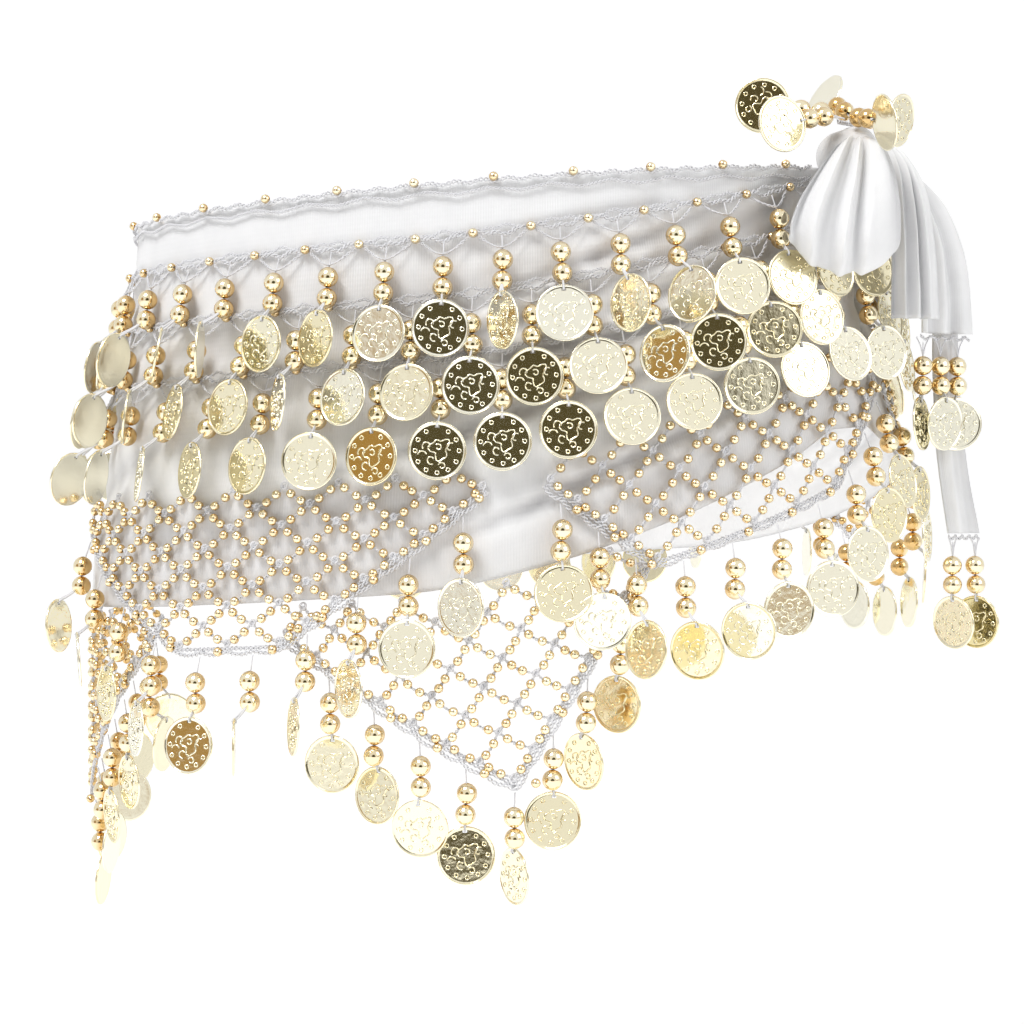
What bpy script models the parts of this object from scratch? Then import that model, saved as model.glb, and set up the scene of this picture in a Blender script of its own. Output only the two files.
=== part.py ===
"""Coin belt worn round the hips: chiffon wrap, three coin rows, two tiers of beaded net, knot and tails.

Metres, +Z up. The front faces -Y and the knot sits on the +X side. The origin is the middle of the hips.
"""

import math

import bmesh
import bpy
from mathutils import Vector

# Hip section at the top edge and how it widens down to the hem
HIP_HALF_WIDTH = 0.164
HIP_HALF_DEPTH = 0.110
HIP_FLARE = 0.125
TOP_HEIGHT = 0.084
TILT = 0.075

# Chiffon wrap
WRAP_DROP = 0.168
WRAP_THICKNESS = 0.0013
WRAP_COLUMNS = 60
WRAP_ROWS = 8

# Distance round the hips is a share of one turn: 0 at the front, positive towards +X
KNOT_SHARE = 0.178
GATHER_REACH = 0.215
ROUND_LENGTH = 0.965

# Danglers: two beads and a coin
COIN_RADIUS = 0.0120
COIN_HALF_WIDTH = 0.0104
COIN_THICKNESS = 0.0010
BEAD_REACH = 0.0044
BEAD_ONE_DROP = 0.0110
BEAD_TWO_DROP = 0.0190
NECK_DROP = 0.0230
COIN_DROP = 0.0360
ROOT_HALF_WIDTH = 0.0009

# Trims
TRIM_HEIGHT = 0.0036
TRIM_INNER = 0.0013
TRIM_OUTER = 0.0036

# Net strands
STRAND_WIDTH = 0.0026
STRAND_HEIGHT = 0.0017
SEAM_GAP = 0.0003

# Coin rows: name, drop of the trim, danglers, start in steps from the knot, turns of the coins in degrees
COIN_ROWS = (
    ("coin_row_1", 0.023, 37, 0.5, (0, 8, 14, 58, 62, 6, 60, 4, 12, 34, 18, 60, 40, 64, 20)),
    ("coin_row_2", 0.048, 36, 1.0, (6, 12, 8, 50, 10, 4, 6, 14, 24, 52, 14, 30, 40, 60, 30)),
    ("coin_row_3", 0.073, 37, 0.5, (10, 20, 6, 8, 4, 10, 6, 4, 16, 10, 22, 30, 36, 52, 58)),
)
BACK_TURNS = (10, 36, 4, 58, 20, 8, 48, 14, 62, 6, 28)

# Nets: name, tier, centre, top drop, cells in the top row, rows,
# half cell across, half cell down, lean, danglers
NETS = (
    ("net_upper_front_left", "upper", -0.118, 0.120, 9, 7, 0.0120, 0.0080, 0.00, 10),
    ("net_upper_front_right", "upper", 0.112, 0.120, 8, 4, 0.0108, 0.0110, 0.00, 10),
    ("net_upper_back_right", "upper", 0.281, 0.120, 6, 4, 0.0108, 0.0110, 0.00, 8),
    ("net_upper_back_left", "upper", 0.486, 0.100, 9, 3, 0.0120, 0.0080, 0.00, 10),
    ("net_lower_front", "lower", -0.018, 0.168, 7, 7, 0.0105, 0.0100, 0.30, 9),
    ("net_lower_left", "lower", -0.240, 0.168, 7, 7, 0.0105, 0.0100, 0.00, 9),
)

# Soft folds of the wrap: share and drop where each starts, share and drop where it ends, half width, depth
FOLDS = (
    (0.150, 0.020, -0.020, 0.100, 0.012, 0.0030),
    (0.150, 0.035, 0.010, 0.140, 0.013, 0.0034),
    (0.145, 0.055, 0.040, 0.160, 0.012, 0.0026),
    (0.110, 0.030, -0.090, 0.060, 0.012, 0.0020),
    (-0.120, 0.060, -0.240, 0.095, 0.014, 0.0020),
    (-0.180, 0.110, -0.330, 0.140, 0.014, 0.0022),
    (-0.260, 0.040, -0.420, 0.070, 0.013, 0.0020),
    (0.205, 0.020, 0.380, 0.100, 0.013, 0.0030),
    (0.205, 0.045, 0.330, 0.150, 0.013, 0.0030),
    (0.250, 0.035, 0.460, 0.060, 0.012, 0.0022),
    (0.420, 0.110, 0.560, 0.140, 0.014, 0.0020),
)

# Knot pieces are placed by distance along the hips, out of them and above the top edge, all at the knot
KNOT_CENTRE = (0.000, 0.0146, 0.003)
KNOT_HALF = (0.0120, 0.0145, 0.0130)
KNOT_RINGS = 7
KNOT_SIDES = 14
SHEET_THICKNESS = 0.0013

# Bow loop, from the knot and back to it: aside, ahead and up of the middle, half width, pleat depth
BOW_TURN = 36.0
BOW_LOOP = (
    (0.0000, 0.0131, 0.0100, 0.0060, 0.0006),
    (-0.0020, 0.0195, 0.0060, 0.0110, 0.0016),
    (-0.0060, 0.0260, -0.0060, 0.0175, 0.0026),
    (-0.0100, 0.0300, -0.0200, 0.0225, 0.0028),
    (-0.0120, 0.0305, -0.0330, 0.0245, 0.0024),
    (-0.0120, 0.0280, -0.0430, 0.0245, 0.0016),
    (-0.0120, 0.0245, -0.0480, 0.0235, 0.0010),
    (-0.0090, 0.0215, -0.0465, 0.0190, 0.0008),
    (-0.0060, 0.0180, -0.0380, 0.0140, 0.0008),
    (-0.0030, 0.0150, -0.0270, 0.0110, 0.0008),
    (-0.0010, 0.0115, -0.0170, 0.0085, 0.0008),
    (0.0000, 0.0085, -0.0085, 0.0060, 0.0006),
)

# Tails: along, out and up of the middle, half width, pleat depth, turn of the width in degrees
TAIL_FRONT = (
    (0.0144, 0.0170, 0.0060, 0.0025, 0.0003, 0.0),
    (0.0190, 0.0230, 0.0080, 0.0045, 0.0010, 10.0),
    (0.0195, 0.0298, -0.0010, 0.0068, 0.0018, 20.0),
    (0.0198, 0.0333, -0.0140, 0.0088, 0.0024, 30.0),
    (0.0199, 0.0351, -0.0300, 0.0102, 0.0026, 30.0),
    (0.0203, 0.0359, -0.0480, 0.0112, 0.0026, 30.0),
    (0.0207, 0.0362, -0.0660, 0.0118, 0.0026, 30.0),
)
TAIL_BACK = (
    (0.0144, 0.0136, 0.0010, 0.0025, 0.0003, 0.0),
    (0.0275, 0.0200, 0.0000, 0.0070, 0.0010, 4.0),
    (0.0410, 0.0250, -0.0120, 0.0110, 0.0016, 9.0),
    (0.0505, 0.0276, -0.0300, 0.0128, 0.0018, 13.0),
    (0.0550, 0.0280, -0.0500, 0.0140, 0.0018, 15.0),
    (0.0560, 0.0280, -0.0710, 0.0148, 0.0018, 15.0),
)
TAIL_STRIP = (
    (0.0600, 0.0259, -0.0400, 0.0070, 0.0002, 15.0),
    (0.0630, 0.0240, -0.0690, 0.0072, 0.0004, 18.0),
    (0.0670, 0.0225, -0.0990, 0.0074, 0.0006, 22.0),
    (0.0705, 0.0230, -0.1280, 0.0075, 0.0006, 28.0),
    (0.0745, 0.0264, -0.1600, 0.0076, 0.0004, 34.0),
)

# Danglers on the hem of a tail: share of the half width, turn of the coin in degrees, distance off the hem
BACK_HEM = (
    (-0.90, -30.0, -0.0010),
    (-0.20, -8.0, 0.0030),
    (0.50, 14.0, -0.0010),
)
STRIP_HEM = (
    (-0.72, 66.0, 0.0010),
    (0.72, 70.0, 0.0010),
)

# Coins that stand round the knot: start along, then direction along, out and up, turn of the coin in degrees
KNOT_COINS = (
    (-0.0065, -0.958, -0.164, -0.190, 6.0),
    (-0.0035, -0.417, -0.867, 0.150, 6.0),
    (-0.0005, -0.510, 0.830, -0.200, 10.0),
    (0.0030, 0.525, -0.769, 0.350, 30.0),
    (0.0065, 0.994, -0.040, 0.070, 12.0),
)

# Materials: name, colour, metallic, roughness
MATERIALS = {
    "chiffon": ((0.83, 0.84, 0.87, 1.0), 0.0, 0.85),
    "crochet": ((0.86, 0.87, 0.90, 1.0), 0.0, 0.90),
    "gilt": ((0.80, 0.66, 0.30, 1.0), 1.0, 0.25),
}


def ease(value):
    """Smooth step from 0 to 1."""
    value = min(1.0, max(0.0, value))
    return value * value * (3.0 - 2.0 * value)


def hip_angles(steps):
    """Angle from the front for equal shares of one turn of the hip ellipse."""
    angles = [math.tau * index / steps for index in range(steps + 1)]
    lengths = [0.0]
    for low, high in zip(angles, angles[1:]):
        across = HIP_HALF_WIDTH * (math.sin(high) - math.sin(low))
        deep = HIP_HALF_DEPTH * (math.cos(high) - math.cos(low))
        lengths.append(lengths[-1] + math.hypot(across, deep))
    return angles, [length / lengths[-1] for length in lengths]


ANGLES, SHARES = hip_angles(720)


def hip_angle(share):
    """Angle of a share of one turn."""
    share = share % 1.0
    low = 0
    high = len(SHARES) - 1
    while high - low > 1:
        middle = (low + high) // 2
        if SHARES[middle] <= share:
            low = middle
        else:
            high = middle
    part = (share - SHARES[low]) / (SHARES[high] - SHARES[low])
    return ANGLES[low] + part * (ANGLES[high] - ANGLES[low])


def hip_normal(share):
    """Level direction out of the hips."""
    angle = hip_angle(share)
    return Vector((math.sin(angle) / HIP_HALF_WIDTH, -math.cos(angle) / HIP_HALF_DEPTH, 0.0)).normalized()


def hip_tangent(share):
    """Level direction round the hips, the way shares grow."""
    normal = hip_normal(share)
    return Vector((-normal.y, normal.x, 0.0))


def hip_point(share, drop, out):
    """Point at a drop below the top edge and a distance out of the smooth wrap."""
    angle = hip_angle(share)
    spread = 1.0 + HIP_FLARE * ease(drop / WRAP_DROP)
    across = HIP_HALF_WIDTH * spread * math.sin(angle)
    deep = -HIP_HALF_DEPTH * spread * math.cos(angle)
    point = Vector((across, deep, 0.0))
    point += hip_normal(share) * out
    point.z = TOP_HEIGHT - drop + TILT * point.x
    return point


def knot_distance(share):
    """Share of a turn between a place and the knot."""
    return abs((share - KNOT_SHARE + 0.5) % 1.0 - 0.5)


def gather(share):
    """How far the cloth is drawn up: 1 at the knot and 0 away from it."""
    reach = max(0.0, 1.0 - knot_distance(share) / GATHER_REACH)
    return min(1.0, 1.12 * reach ** 1.6)


def gathered_drop(drop, share):
    """Drop of a line of the wrap once it is drawn up towards the knot."""
    lift = min(0.65 * drop, 0.015 + 0.27 * (drop - 0.023))
    return drop - gather(share) * lift


def fold_depth(share, drop):
    """How far the folds dip inwards at a place of the wrap."""
    total = 0.0
    for start, start_drop, end, end_drop, half_width, depth in FOLDS:
        run = (end - start) * ROUND_LENGTH
        fall = end_drop - start_drop
        offset = ((share - start + 0.5) % 1.0 - 0.5) * ROUND_LENGTH
        along = (offset * run + (drop - start_drop) * fall) / (run * run + fall * fall)
        along_clamped = min(1.0, max(0.0, along))
        away = math.hypot(offset - along_clamped * run, drop - start_drop - along_clamped * fall)
        total += depth * math.exp(-(away / half_width) ** 2) * (1.0 - 0.5 * along_clamped)
    return total * (1.0 - ease((drop - 0.120) / 0.040))


def solid_from(name, points, faces, material, collection):
    """One closed named solid from points and faces."""
    mesh = bpy.data.meshes.new(name)
    mesh.from_pydata([tuple(point) for point in points], [], faces)
    work = bmesh.new()
    work.from_mesh(mesh)
    bmesh.ops.recalc_face_normals(work, faces=work.faces)
    bmesh.ops.triangulate(work, faces=work.faces)
    work.to_mesh(mesh)
    work.free()
    mesh.materials.append(material)
    solid = bpy.data.objects.new(name, mesh)
    collection.objects.link(solid)
    return solid


class Shape:
    """Points and faces of one solid while it is put together."""

    def __init__(self):
        self.points = []
        self.faces = []

    def add(self, point):
        """Keep a point and return its number."""
        self.points.append(point)
        return len(self.points) - 1

    def ring(self, points):
        """Keep a ring of points and return their numbers."""
        return [self.add(point) for point in points]

    def band(self, first, second):
        """Faces between two rings of the same length."""
        count = len(first)
        for index in range(count):
            after = (index + 1) % count
            self.faces.append((first[index], first[after], second[after], second[index]))

    def tip(self, ring, point):
        """Faces from a ring to one point."""
        end = self.add(point)
        for index in range(len(ring)):
            self.faces.append((ring[index], ring[(index + 1) % len(ring)], end))


def triangle_ring(centre, side, front, reach):
    """Three points round a thread: two at the front and one behind."""
    wide = reach * math.cos(math.radians(30.0))
    return (
        centre - side * wide + front * reach * 0.5,
        centre + side * wide + front * reach * 0.5,
        centre - front * reach,
    )


def coin_ring(centre, side, front, half_width):
    """Three points of a level cut through a coin: two rims and the middle of its back."""
    return (centre - side * half_width, centre + side * half_width, centre - front * COIN_THICKNESS)


def hang_dangler(shape, root, place, side, front, turn, bead_out, coin_out):
    """Thread, two beads and a coin below a root of three points.

    place(drop, out) gives a point of the line that the dangler hangs along.
    """
    turned_side = side * math.cos(turn) + front * math.sin(turn)
    turned_front = front * math.cos(turn) - side * math.sin(turn)
    neck_out = 0.55 * bead_out + 0.45 * coin_out
    rings = (
        triangle_ring(place(0.0065, bead_out), side, front, 0.0010),
        triangle_ring(place(BEAD_ONE_DROP, bead_out), side, front, BEAD_REACH),
        triangle_ring(place(0.0150, bead_out), side, front, 0.0012),
        triangle_ring(place(BEAD_TWO_DROP, bead_out), side, front, BEAD_REACH),
        triangle_ring(place(NECK_DROP, neck_out), turned_side, turned_front, 0.0010),
        coin_ring(place(COIN_DROP - 0.5 * COIN_RADIUS, coin_out), turned_side, turned_front, COIN_HALF_WIDTH),
        coin_ring(place(COIN_DROP + 0.5 * COIN_RADIUS, coin_out), turned_side, turned_front, COIN_HALF_WIDTH),
    )
    last = root
    for points in rings:
        ring = shape.ring(points)
        shape.band(last, ring)
        last = ring
    shape.tip(last, place(COIN_DROP + COIN_RADIUS, coin_out))


def trim_with_danglers(name, stations, material, collection):
    """A three-sided trim along stations, with danglers fused under it.

    Each station has its top point, its lower outer points (two where a dangler hangs), its lower inner
    point and a function that hangs the dangler, or None.
    """
    shape = Shape()
    rings = []
    for top, outer, inner, hang in stations:
        rings.append((shape.add(top), [shape.add(point) for point in outer], shape.add(inner), hang))
    for (top, outer, inner, _), (next_top, next_outer, next_inner, _) in zip(rings, rings[1:]):
        shape.faces.append((top, outer[-1], next_outer[0], next_top))
        shape.faces.append((top, next_top, next_inner, inner))
        shape.faces.append((outer[-1], inner, next_inner, next_outer[0]))
    for top, outer, inner, hang in rings:
        if hang:
            shape.faces.append((top, outer[0], outer[1]))
            hang(shape, [outer[0], outer[1], inner])
    first = rings[0]
    last = rings[-1]
    shape.faces.append((first[0], first[1][0], first[2]))
    shape.faces.append((last[0], last[1][-1], last[2]))
    return solid_from(name, shape.points, shape.faces, material, collection)


def calm_turn(share, turn):
    """Coins under the bow loop and the tails hang flat."""
    past = (share - KNOT_SHARE + 0.5) % 1.0 - 0.5
    if -0.05 < past < 0.10:
        return min(turn, math.radians(8.0))
    return turn


def row_hanger(share, drop, turn):
    """Function that hangs a dangler of a coin row."""
    draw = gather(share)
    bead_out = 0.0052 + 0.0040 * draw
    turn = calm_turn(share, turn)
    coin_out = bead_out + 0.0037 + COIN_HALF_WIDTH * math.sin(turn)

    def hang(shape, root):
        def place(below, out):
            return hip_point(share, drop + below, out)

        hang_dangler(shape, root, place, hip_tangent(share), hip_normal(share), turn, bead_out, coin_out)

    return hang


def coin_row(name, drop, count, start, turns, material, collection):
    """One trim round the hips with its danglers, open at the knot."""
    step = 1.0 / 37.0
    stations = []
    for index in range(count):
        share = KNOT_SHARE - (start + index) * step
        turn_list = turns if index < len(turns) else BACK_TURNS
        turn = math.radians(turn_list[index % len(turn_list)])
        middle = gathered_drop(drop, share)
        low = middle + 0.5 * TRIM_HEIGHT
        side = ROOT_HALF_WIDTH / ROUND_LENGTH
        top = hip_point(share, middle - 0.5 * TRIM_HEIGHT, 0.5 * (TRIM_INNER + TRIM_OUTER))
        outer = [hip_point(share - side, low, TRIM_OUTER), hip_point(share + side, low, TRIM_OUTER)]
        inner = hip_point(share, low, TRIM_INNER)
        stations.append((top, outer, inner, row_hanger(share, low, turn)))
    stations.reverse()
    return trim_with_danglers(name, stations, material, collection)


def edge_trim(material, collection):
    """Narrow trim along the top edge, open at the knot."""
    shape = Shape()
    count = WRAP_COLUMNS
    last = None
    for index in range(count):
        share = KNOT_SHARE + 0.010 + (0.980 * index) / (count - 1)
        ring = shape.ring((
            hip_point(share, -0.0012, 0.0014),
            hip_point(share, 0.0024, TRIM_OUTER),
            hip_point(share, 0.0024, TRIM_INNER),
        ))
        if last:
            shape.band(last, ring)
        else:
            shape.faces.append(tuple(ring))
        last = ring
    shape.faces.append(tuple(last))
    return solid_from("top_edge_trim", shape.points, shape.faces, material, collection)


def wrap(material, collection):
    """Chiffon wall all round the hips, with its folds, drawn up towards the knot."""
    outer = []
    inner = []
    for column in range(WRAP_COLUMNS):
        share = KNOT_SHARE + column / WRAP_COLUMNS
        hem = gathered_drop(WRAP_DROP, share)
        for row in range(WRAP_ROWS + 1):
            drop = hem * row / WRAP_ROWS
            dip = fold_depth(share, drop)
            outer.append(hip_point(share, drop, -dip))
            inner.append(hip_point(share, drop, -dip - WRAP_THICKNESS))
    points = outer + inner
    shift = len(outer)
    length = WRAP_ROWS + 1
    faces = []
    for column in range(WRAP_COLUMNS):
        here = column * length
        there = ((column + 1) % WRAP_COLUMNS) * length
        for row in range(WRAP_ROWS):
            faces.append((here + row, there + row, there + row + 1, here + row + 1))
            near = shift + here + row
            far = shift + there + row
            faces.append((near, near + 1, far + 1, far))
        for row in (0, WRAP_ROWS):
            faces.append((here + row, there + row, shift + there + row, shift + here + row))
    return solid_from("chiffon_wrap", points, faces, material, collection)


class NetPlan:
    """Layout of one net triangle in distances across and down from the middle of its top."""

    def __init__(self, row):
        (self.name, self.tier, self.centre, self.top, self.cells, self.rows,
         self.half_across, self.half_down, self.lean, self.danglers) = row
        self.inner = 0.0010 if self.tier == "upper" else -0.0015
        self.seam = 0.0 if self.tier == "upper" else SEAM_GAP + 0.5 * STRAND_WIDTH + 0.0008

    def spot(self, column, line):
        """Across and down of a crossing of the net."""
        down = line * self.half_down
        return (column * self.half_across + self.lean * down, down)

    def point(self, across, down, out):
        """Point of the belt for a place of the net."""
        share = self.centre + across / ROUND_LENGTH
        return hip_point(share, gathered_drop(self.top, share) + self.seam + down, out)

    def strands(self):
        """Pairs of crossings that a strand joins."""
        pairs = set()
        for row in range(self.rows):
            line = row + 1
            for index in range(self.cells - row):
                column = -(self.cells - 1 - row) + 2 * index
                pairs.add(((column, line - 1), (column + 1, line)))
                pairs.add(((column, line - 1), (column - 1, line)))
                pairs.add(((column + 1, line), (column, line + 1)))
                pairs.add(((column - 1, line), (column, line + 1)))
        return sorted(pairs)

    def edge_path(self):
        """Corners of the lower edge from the left top to the right top."""
        blunt = self.cells - self.rows
        corners = [self.spot(-self.cells, 1), self.spot(-blunt, self.rows + 1)]
        if blunt:
            corners.append(self.spot(blunt, self.rows + 1))
        corners.append(self.spot(self.cells, 1))
        return corners


def net(plan, material, collection):
    """Net of ridged strands that meet at their crossings."""
    shape = Shape()
    length = math.hypot(plan.half_across, plan.half_down)
    across_reach = 0.5 * STRAND_WIDTH * length / plan.half_down
    down_reach = 0.5 * STRAND_WIDTH * length / plan.half_across
    knots = {}
    open_sides = {}
    pairs = plan.strands()
    for pair in pairs:
        for cell in pair:
            if cell in knots:
                continue
            across, down = plan.spot(*cell)
            lean = plan.lean * down_reach
            knots[cell] = {
                "up": shape.add(plan.point(across - lean, down - down_reach, plan.inner)),
                "right": shape.add(plan.point(across + across_reach, down, plan.inner)),
                "low": shape.add(plan.point(across + lean, down + down_reach, plan.inner)),
                "left": shape.add(plan.point(across - across_reach, down, plan.inner)),
                "ridge": shape.add(plan.point(across, down, plan.inner + STRAND_HEIGHT)),
            }
            open_sides[cell] = {("up", "right"), ("right", "low"), ("low", "left"), ("left", "up")}
    for upper, lower in pairs:
        high = knots[upper]
        deep = knots[lower]
        if lower[0] > upper[0]:
            near, far = "right", "low"
        else:
            near, far = "low", "left"
        first = (near, far)
        second = {"right": ("left", "up"), "low": ("up", "right")}[near]
        if near == "right":
            shape.faces.append((high["right"], deep["up"], deep["ridge"], high["ridge"]))
            shape.faces.append((high["ridge"], deep["ridge"], deep["left"], high["low"]))
            shape.faces.append((high["right"], high["low"], deep["left"], deep["up"]))
        else:
            shape.faces.append((high["low"], deep["right"], deep["ridge"], high["ridge"]))
            shape.faces.append((high["ridge"], deep["ridge"], deep["up"], high["left"]))
            shape.faces.append((high["low"], high["left"], deep["up"], deep["right"]))
        open_sides[upper].discard(first)
        open_sides[lower].discard(second)
    for cell, knot in knots.items():
        shape.faces.append((knot["up"], knot["right"], knot["low"], knot["left"]))
        for one, other in open_sides[cell]:
            shape.faces.append((knot[one], knot[other], knot["ridge"]))
    return solid_from(plan.name, shape.points, shape.faces, material, collection)


def offset_path(corners, away):
    """Corners of a path moved to its lower side."""
    moved = []
    for index, corner in enumerate(corners):
        normals = []
        for low, high in ((index - 1, index), (index, index + 1)):
            if 0 <= low and high < len(corners):
                run = corners[high][0] - corners[low][0]
                fall = corners[high][1] - corners[low][1]
                size = math.hypot(run, fall)
                normals.append((-fall / size, run / size))
        across = sum(normal[0] for normal in normals) / len(normals)
        down = sum(normal[1] for normal in normals) / len(normals)
        scale = away / (across * across + down * down)
        moved.append((corner[0] + across * scale, corner[1] + down * scale))
    return moved


def path_places(corners, distances):
    """Place and direction along a path at each distance from its start."""
    places = []
    for distance in distances:
        left = distance
        for low, high in zip(corners, corners[1:]):
            size = math.hypot(high[0] - low[0], high[1] - low[1])
            if left <= size or high is corners[-1]:
                part = left / size
                run = (high[0] - low[0]) / size
                fall = (high[1] - low[1]) / size
                across = low[0] + part * (high[0] - low[0])
                down = low[1] + part * (high[1] - low[1])
                places.append((across, down, run, fall))
                break
            left -= size
    return places


def net_edge(plan, material, collection):
    """Braid along the lower edge of a net, with its danglers."""
    path = offset_path(plan.edge_path(), 0.5 * STRAND_WIDTH + SEAM_GAP + 0.5 * TRIM_HEIGHT)
    lengths = [math.hypot(b[0] - a[0], b[1] - a[1]) for a, b in zip(path, path[1:])]
    total = sum(lengths)
    bends = []
    reached = 0.0
    for length in lengths[:-1]:
        reached += length
        bends.append(reached)
    marks = [("end", 0.0)]
    gap = total / plan.danglers
    spread = [gap * (index + 0.5) for index in range(plan.danglers)]
    if len(bends) == 1:
        middle = plan.danglers // 2
        spread = [bends[0] + gap * (index - middle) for index in range(plan.danglers)]
        spread = [value for value in spread if 0.004 < value < total - 0.004]
    for value in spread:
        marks.append(("dangler", value))
    if len(bends) == 2:
        for value in bends:
            marks.append(("bend", value))
    marks.append(("end", total))
    marks.sort(key=lambda mark: mark[1])
    upper = plan.tier == "upper"
    stations = []
    for order, (kind, distance) in enumerate(marks):
        across, down, run, fall = path_places(path, [distance])[0]
        if len(bends) == 1 and abs(distance - bends[0]) < 1e-6:
            run, fall = 1.0, 0.0
        over = (across + fall * 0.5 * TRIM_HEIGHT, down - run * 0.5 * TRIM_HEIGHT)
        under = (across - fall * 0.5 * TRIM_HEIGHT, down + run * 0.5 * TRIM_HEIGHT)
        if upper:
            inner_out, outer_out = TRIM_INNER, TRIM_OUTER
        else:
            inner_out, outer_out = -0.0026, -0.0004
        middle_out = 0.5 * (inner_out + outer_out)
        top = plan.point(over[0], over[1], middle_out)
        inner = plan.point(under[0], under[1], inner_out)
        if kind != "dangler":
            stations.append((top, [plan.point(under[0], under[1], outer_out)], inner, None))
            continue
        outer = [
            plan.point(under[0] - run * ROOT_HALF_WIDTH, under[1] - fall * ROOT_HALF_WIDTH, outer_out),
            plan.point(under[0] + run * ROOT_HALF_WIDTH, under[1] + fall * ROOT_HALF_WIDTH, outer_out),
        ]
        turn = math.radians(BACK_TURNS[(order * 3 + len(plan.name)) % len(BACK_TURNS)])
        stations.append((top, outer, inner, net_hanger(plan, under, turn, upper)))
    return trim_with_danglers(plan.name.replace("net", "fringe"), stations, material, collection)


def net_hanger(plan, under, turn, upper):
    """Function that hangs a dangler of a net edge."""
    share = plan.centre + under[0] / ROUND_LENGTH
    turn = calm_turn(share, turn) if upper else turn
    reach = COIN_HALF_WIDTH * math.sin(turn)
    if upper:
        bead_out = 0.0056
        coin_out = bead_out + 0.0037 + reach
    else:
        bead_out = -0.0040
        coin_out = -0.0030 - reach

    def hang(shape, root):
        def place(below, out):
            return plan.point(under[0], under[1] + below, out)

        hang_dangler(shape, root, place, hip_tangent(share), hip_normal(share), turn, bead_out, coin_out)

    return hang


def knot_place(along, out, up):
    """Point by distance along the hips, out of them and above the top edge at the knot."""
    point = hip_point(KNOT_SHARE, 0.0, 0.0)
    return point + hip_tangent(KNOT_SHARE) * along + hip_normal(KNOT_SHARE) * out + Vector((0.0, 0.0, up))


def knot(material, collection):
    """Tied lump with soft pleats wound round it."""
    shape = Shape()
    rings = []
    along, out, up = KNOT_CENTRE
    for level in range(1, KNOT_RINGS):
        tilt = math.pi * level / KNOT_RINGS
        ring = []
        for index in range(KNOT_SIDES):
            turn = math.tau * index / KNOT_SIDES
            pleat = 1.0 + 0.05 * math.cos(3.0 * turn + 2.2 * tilt)
            ring.append(knot_place(
                along + KNOT_HALF[0] * math.cos(tilt),
                out + KNOT_HALF[1] * math.sin(tilt) * math.cos(turn) * pleat,
                up + KNOT_HALF[2] * math.sin(tilt) * math.sin(turn) * pleat,
            ))
        rings.append(shape.ring(ring))
    for low, high in zip(rings, rings[1:]):
        shape.band(low, high)
    shape.tip(rings[0], knot_place(along + KNOT_HALF[0], out, up))
    shape.tip(rings[-1], knot_place(along - KNOT_HALF[0], out, up))
    return solid_from("knot", shape.points, shape.faces, material, collection)


def loop_rows():
    """Rows of the bow loop, turned to face the front of the belt."""
    angle = math.radians(BOW_TURN)
    rows = []
    for aside, ahead, up, half, depth in BOW_LOOP:
        along = KNOT_CENTRE[0] + aside * math.cos(angle) - ahead * math.sin(angle)
        out = KNOT_CENTRE[1] + aside * math.sin(angle) + ahead * math.cos(angle)
        rows.append((along, out, up, half, depth, BOW_TURN))
    return tuple(rows)


def pleated_sheet(name, rows, columns, pleats, material, collection):
    """Wall of cloth through rows of middle, half width, pleat depth and turn, with both sides open."""
    fronts = []
    backs = []
    for order, (along, out, up, half, depth, turn) in enumerate(rows):
        before = rows[max(0, order - 1)]
        after = rows[min(len(rows) - 1, order + 1)]
        angle = math.radians(turn)
        ahead = (after[1] - before[1]) * math.cos(angle) - (after[0] - before[0]) * math.sin(angle)
        run = Vector((0.0, ahead, after[2] - before[2])).normalized()
        face = Vector((0.0, -run.z, run.y))
        for column in range(columns + 1):
            part = 2.0 * column / columns - 1.0
            lift = depth * math.cos(math.pi * pleats * part + 0.5)
            for side, points in ((0.5, fronts), (-0.5, backs)):
                away = lift + side * SHEET_THICKNESS
                points.append(knot_place(
                    along + half * part * math.cos(angle) - away * face.y * math.sin(angle),
                    out + half * part * math.sin(angle) + away * face.y * math.cos(angle),
                    up + away * face.z,
                ))
    shift = len(fronts)
    width = columns + 1
    faces = []
    for row in range(len(rows) - 1):
        for column in range(columns):
            a = row * width + column
            faces.append((a, a + 1, a + width + 1, a + width))
            faces.append((shift + a, shift + a + width, shift + a + width + 1, shift + a + 1))
        for column in (0, columns):
            a = row * width + column
            faces.append((a, a + width, shift + a + width, shift + a))
    for row in (0, len(rows) - 1):
        for column in range(columns):
            a = row * width + column
            faces.append((a, a + 1, shift + a + 1, shift + a))
    return solid_from(name, fronts + backs, faces, material, collection)


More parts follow.
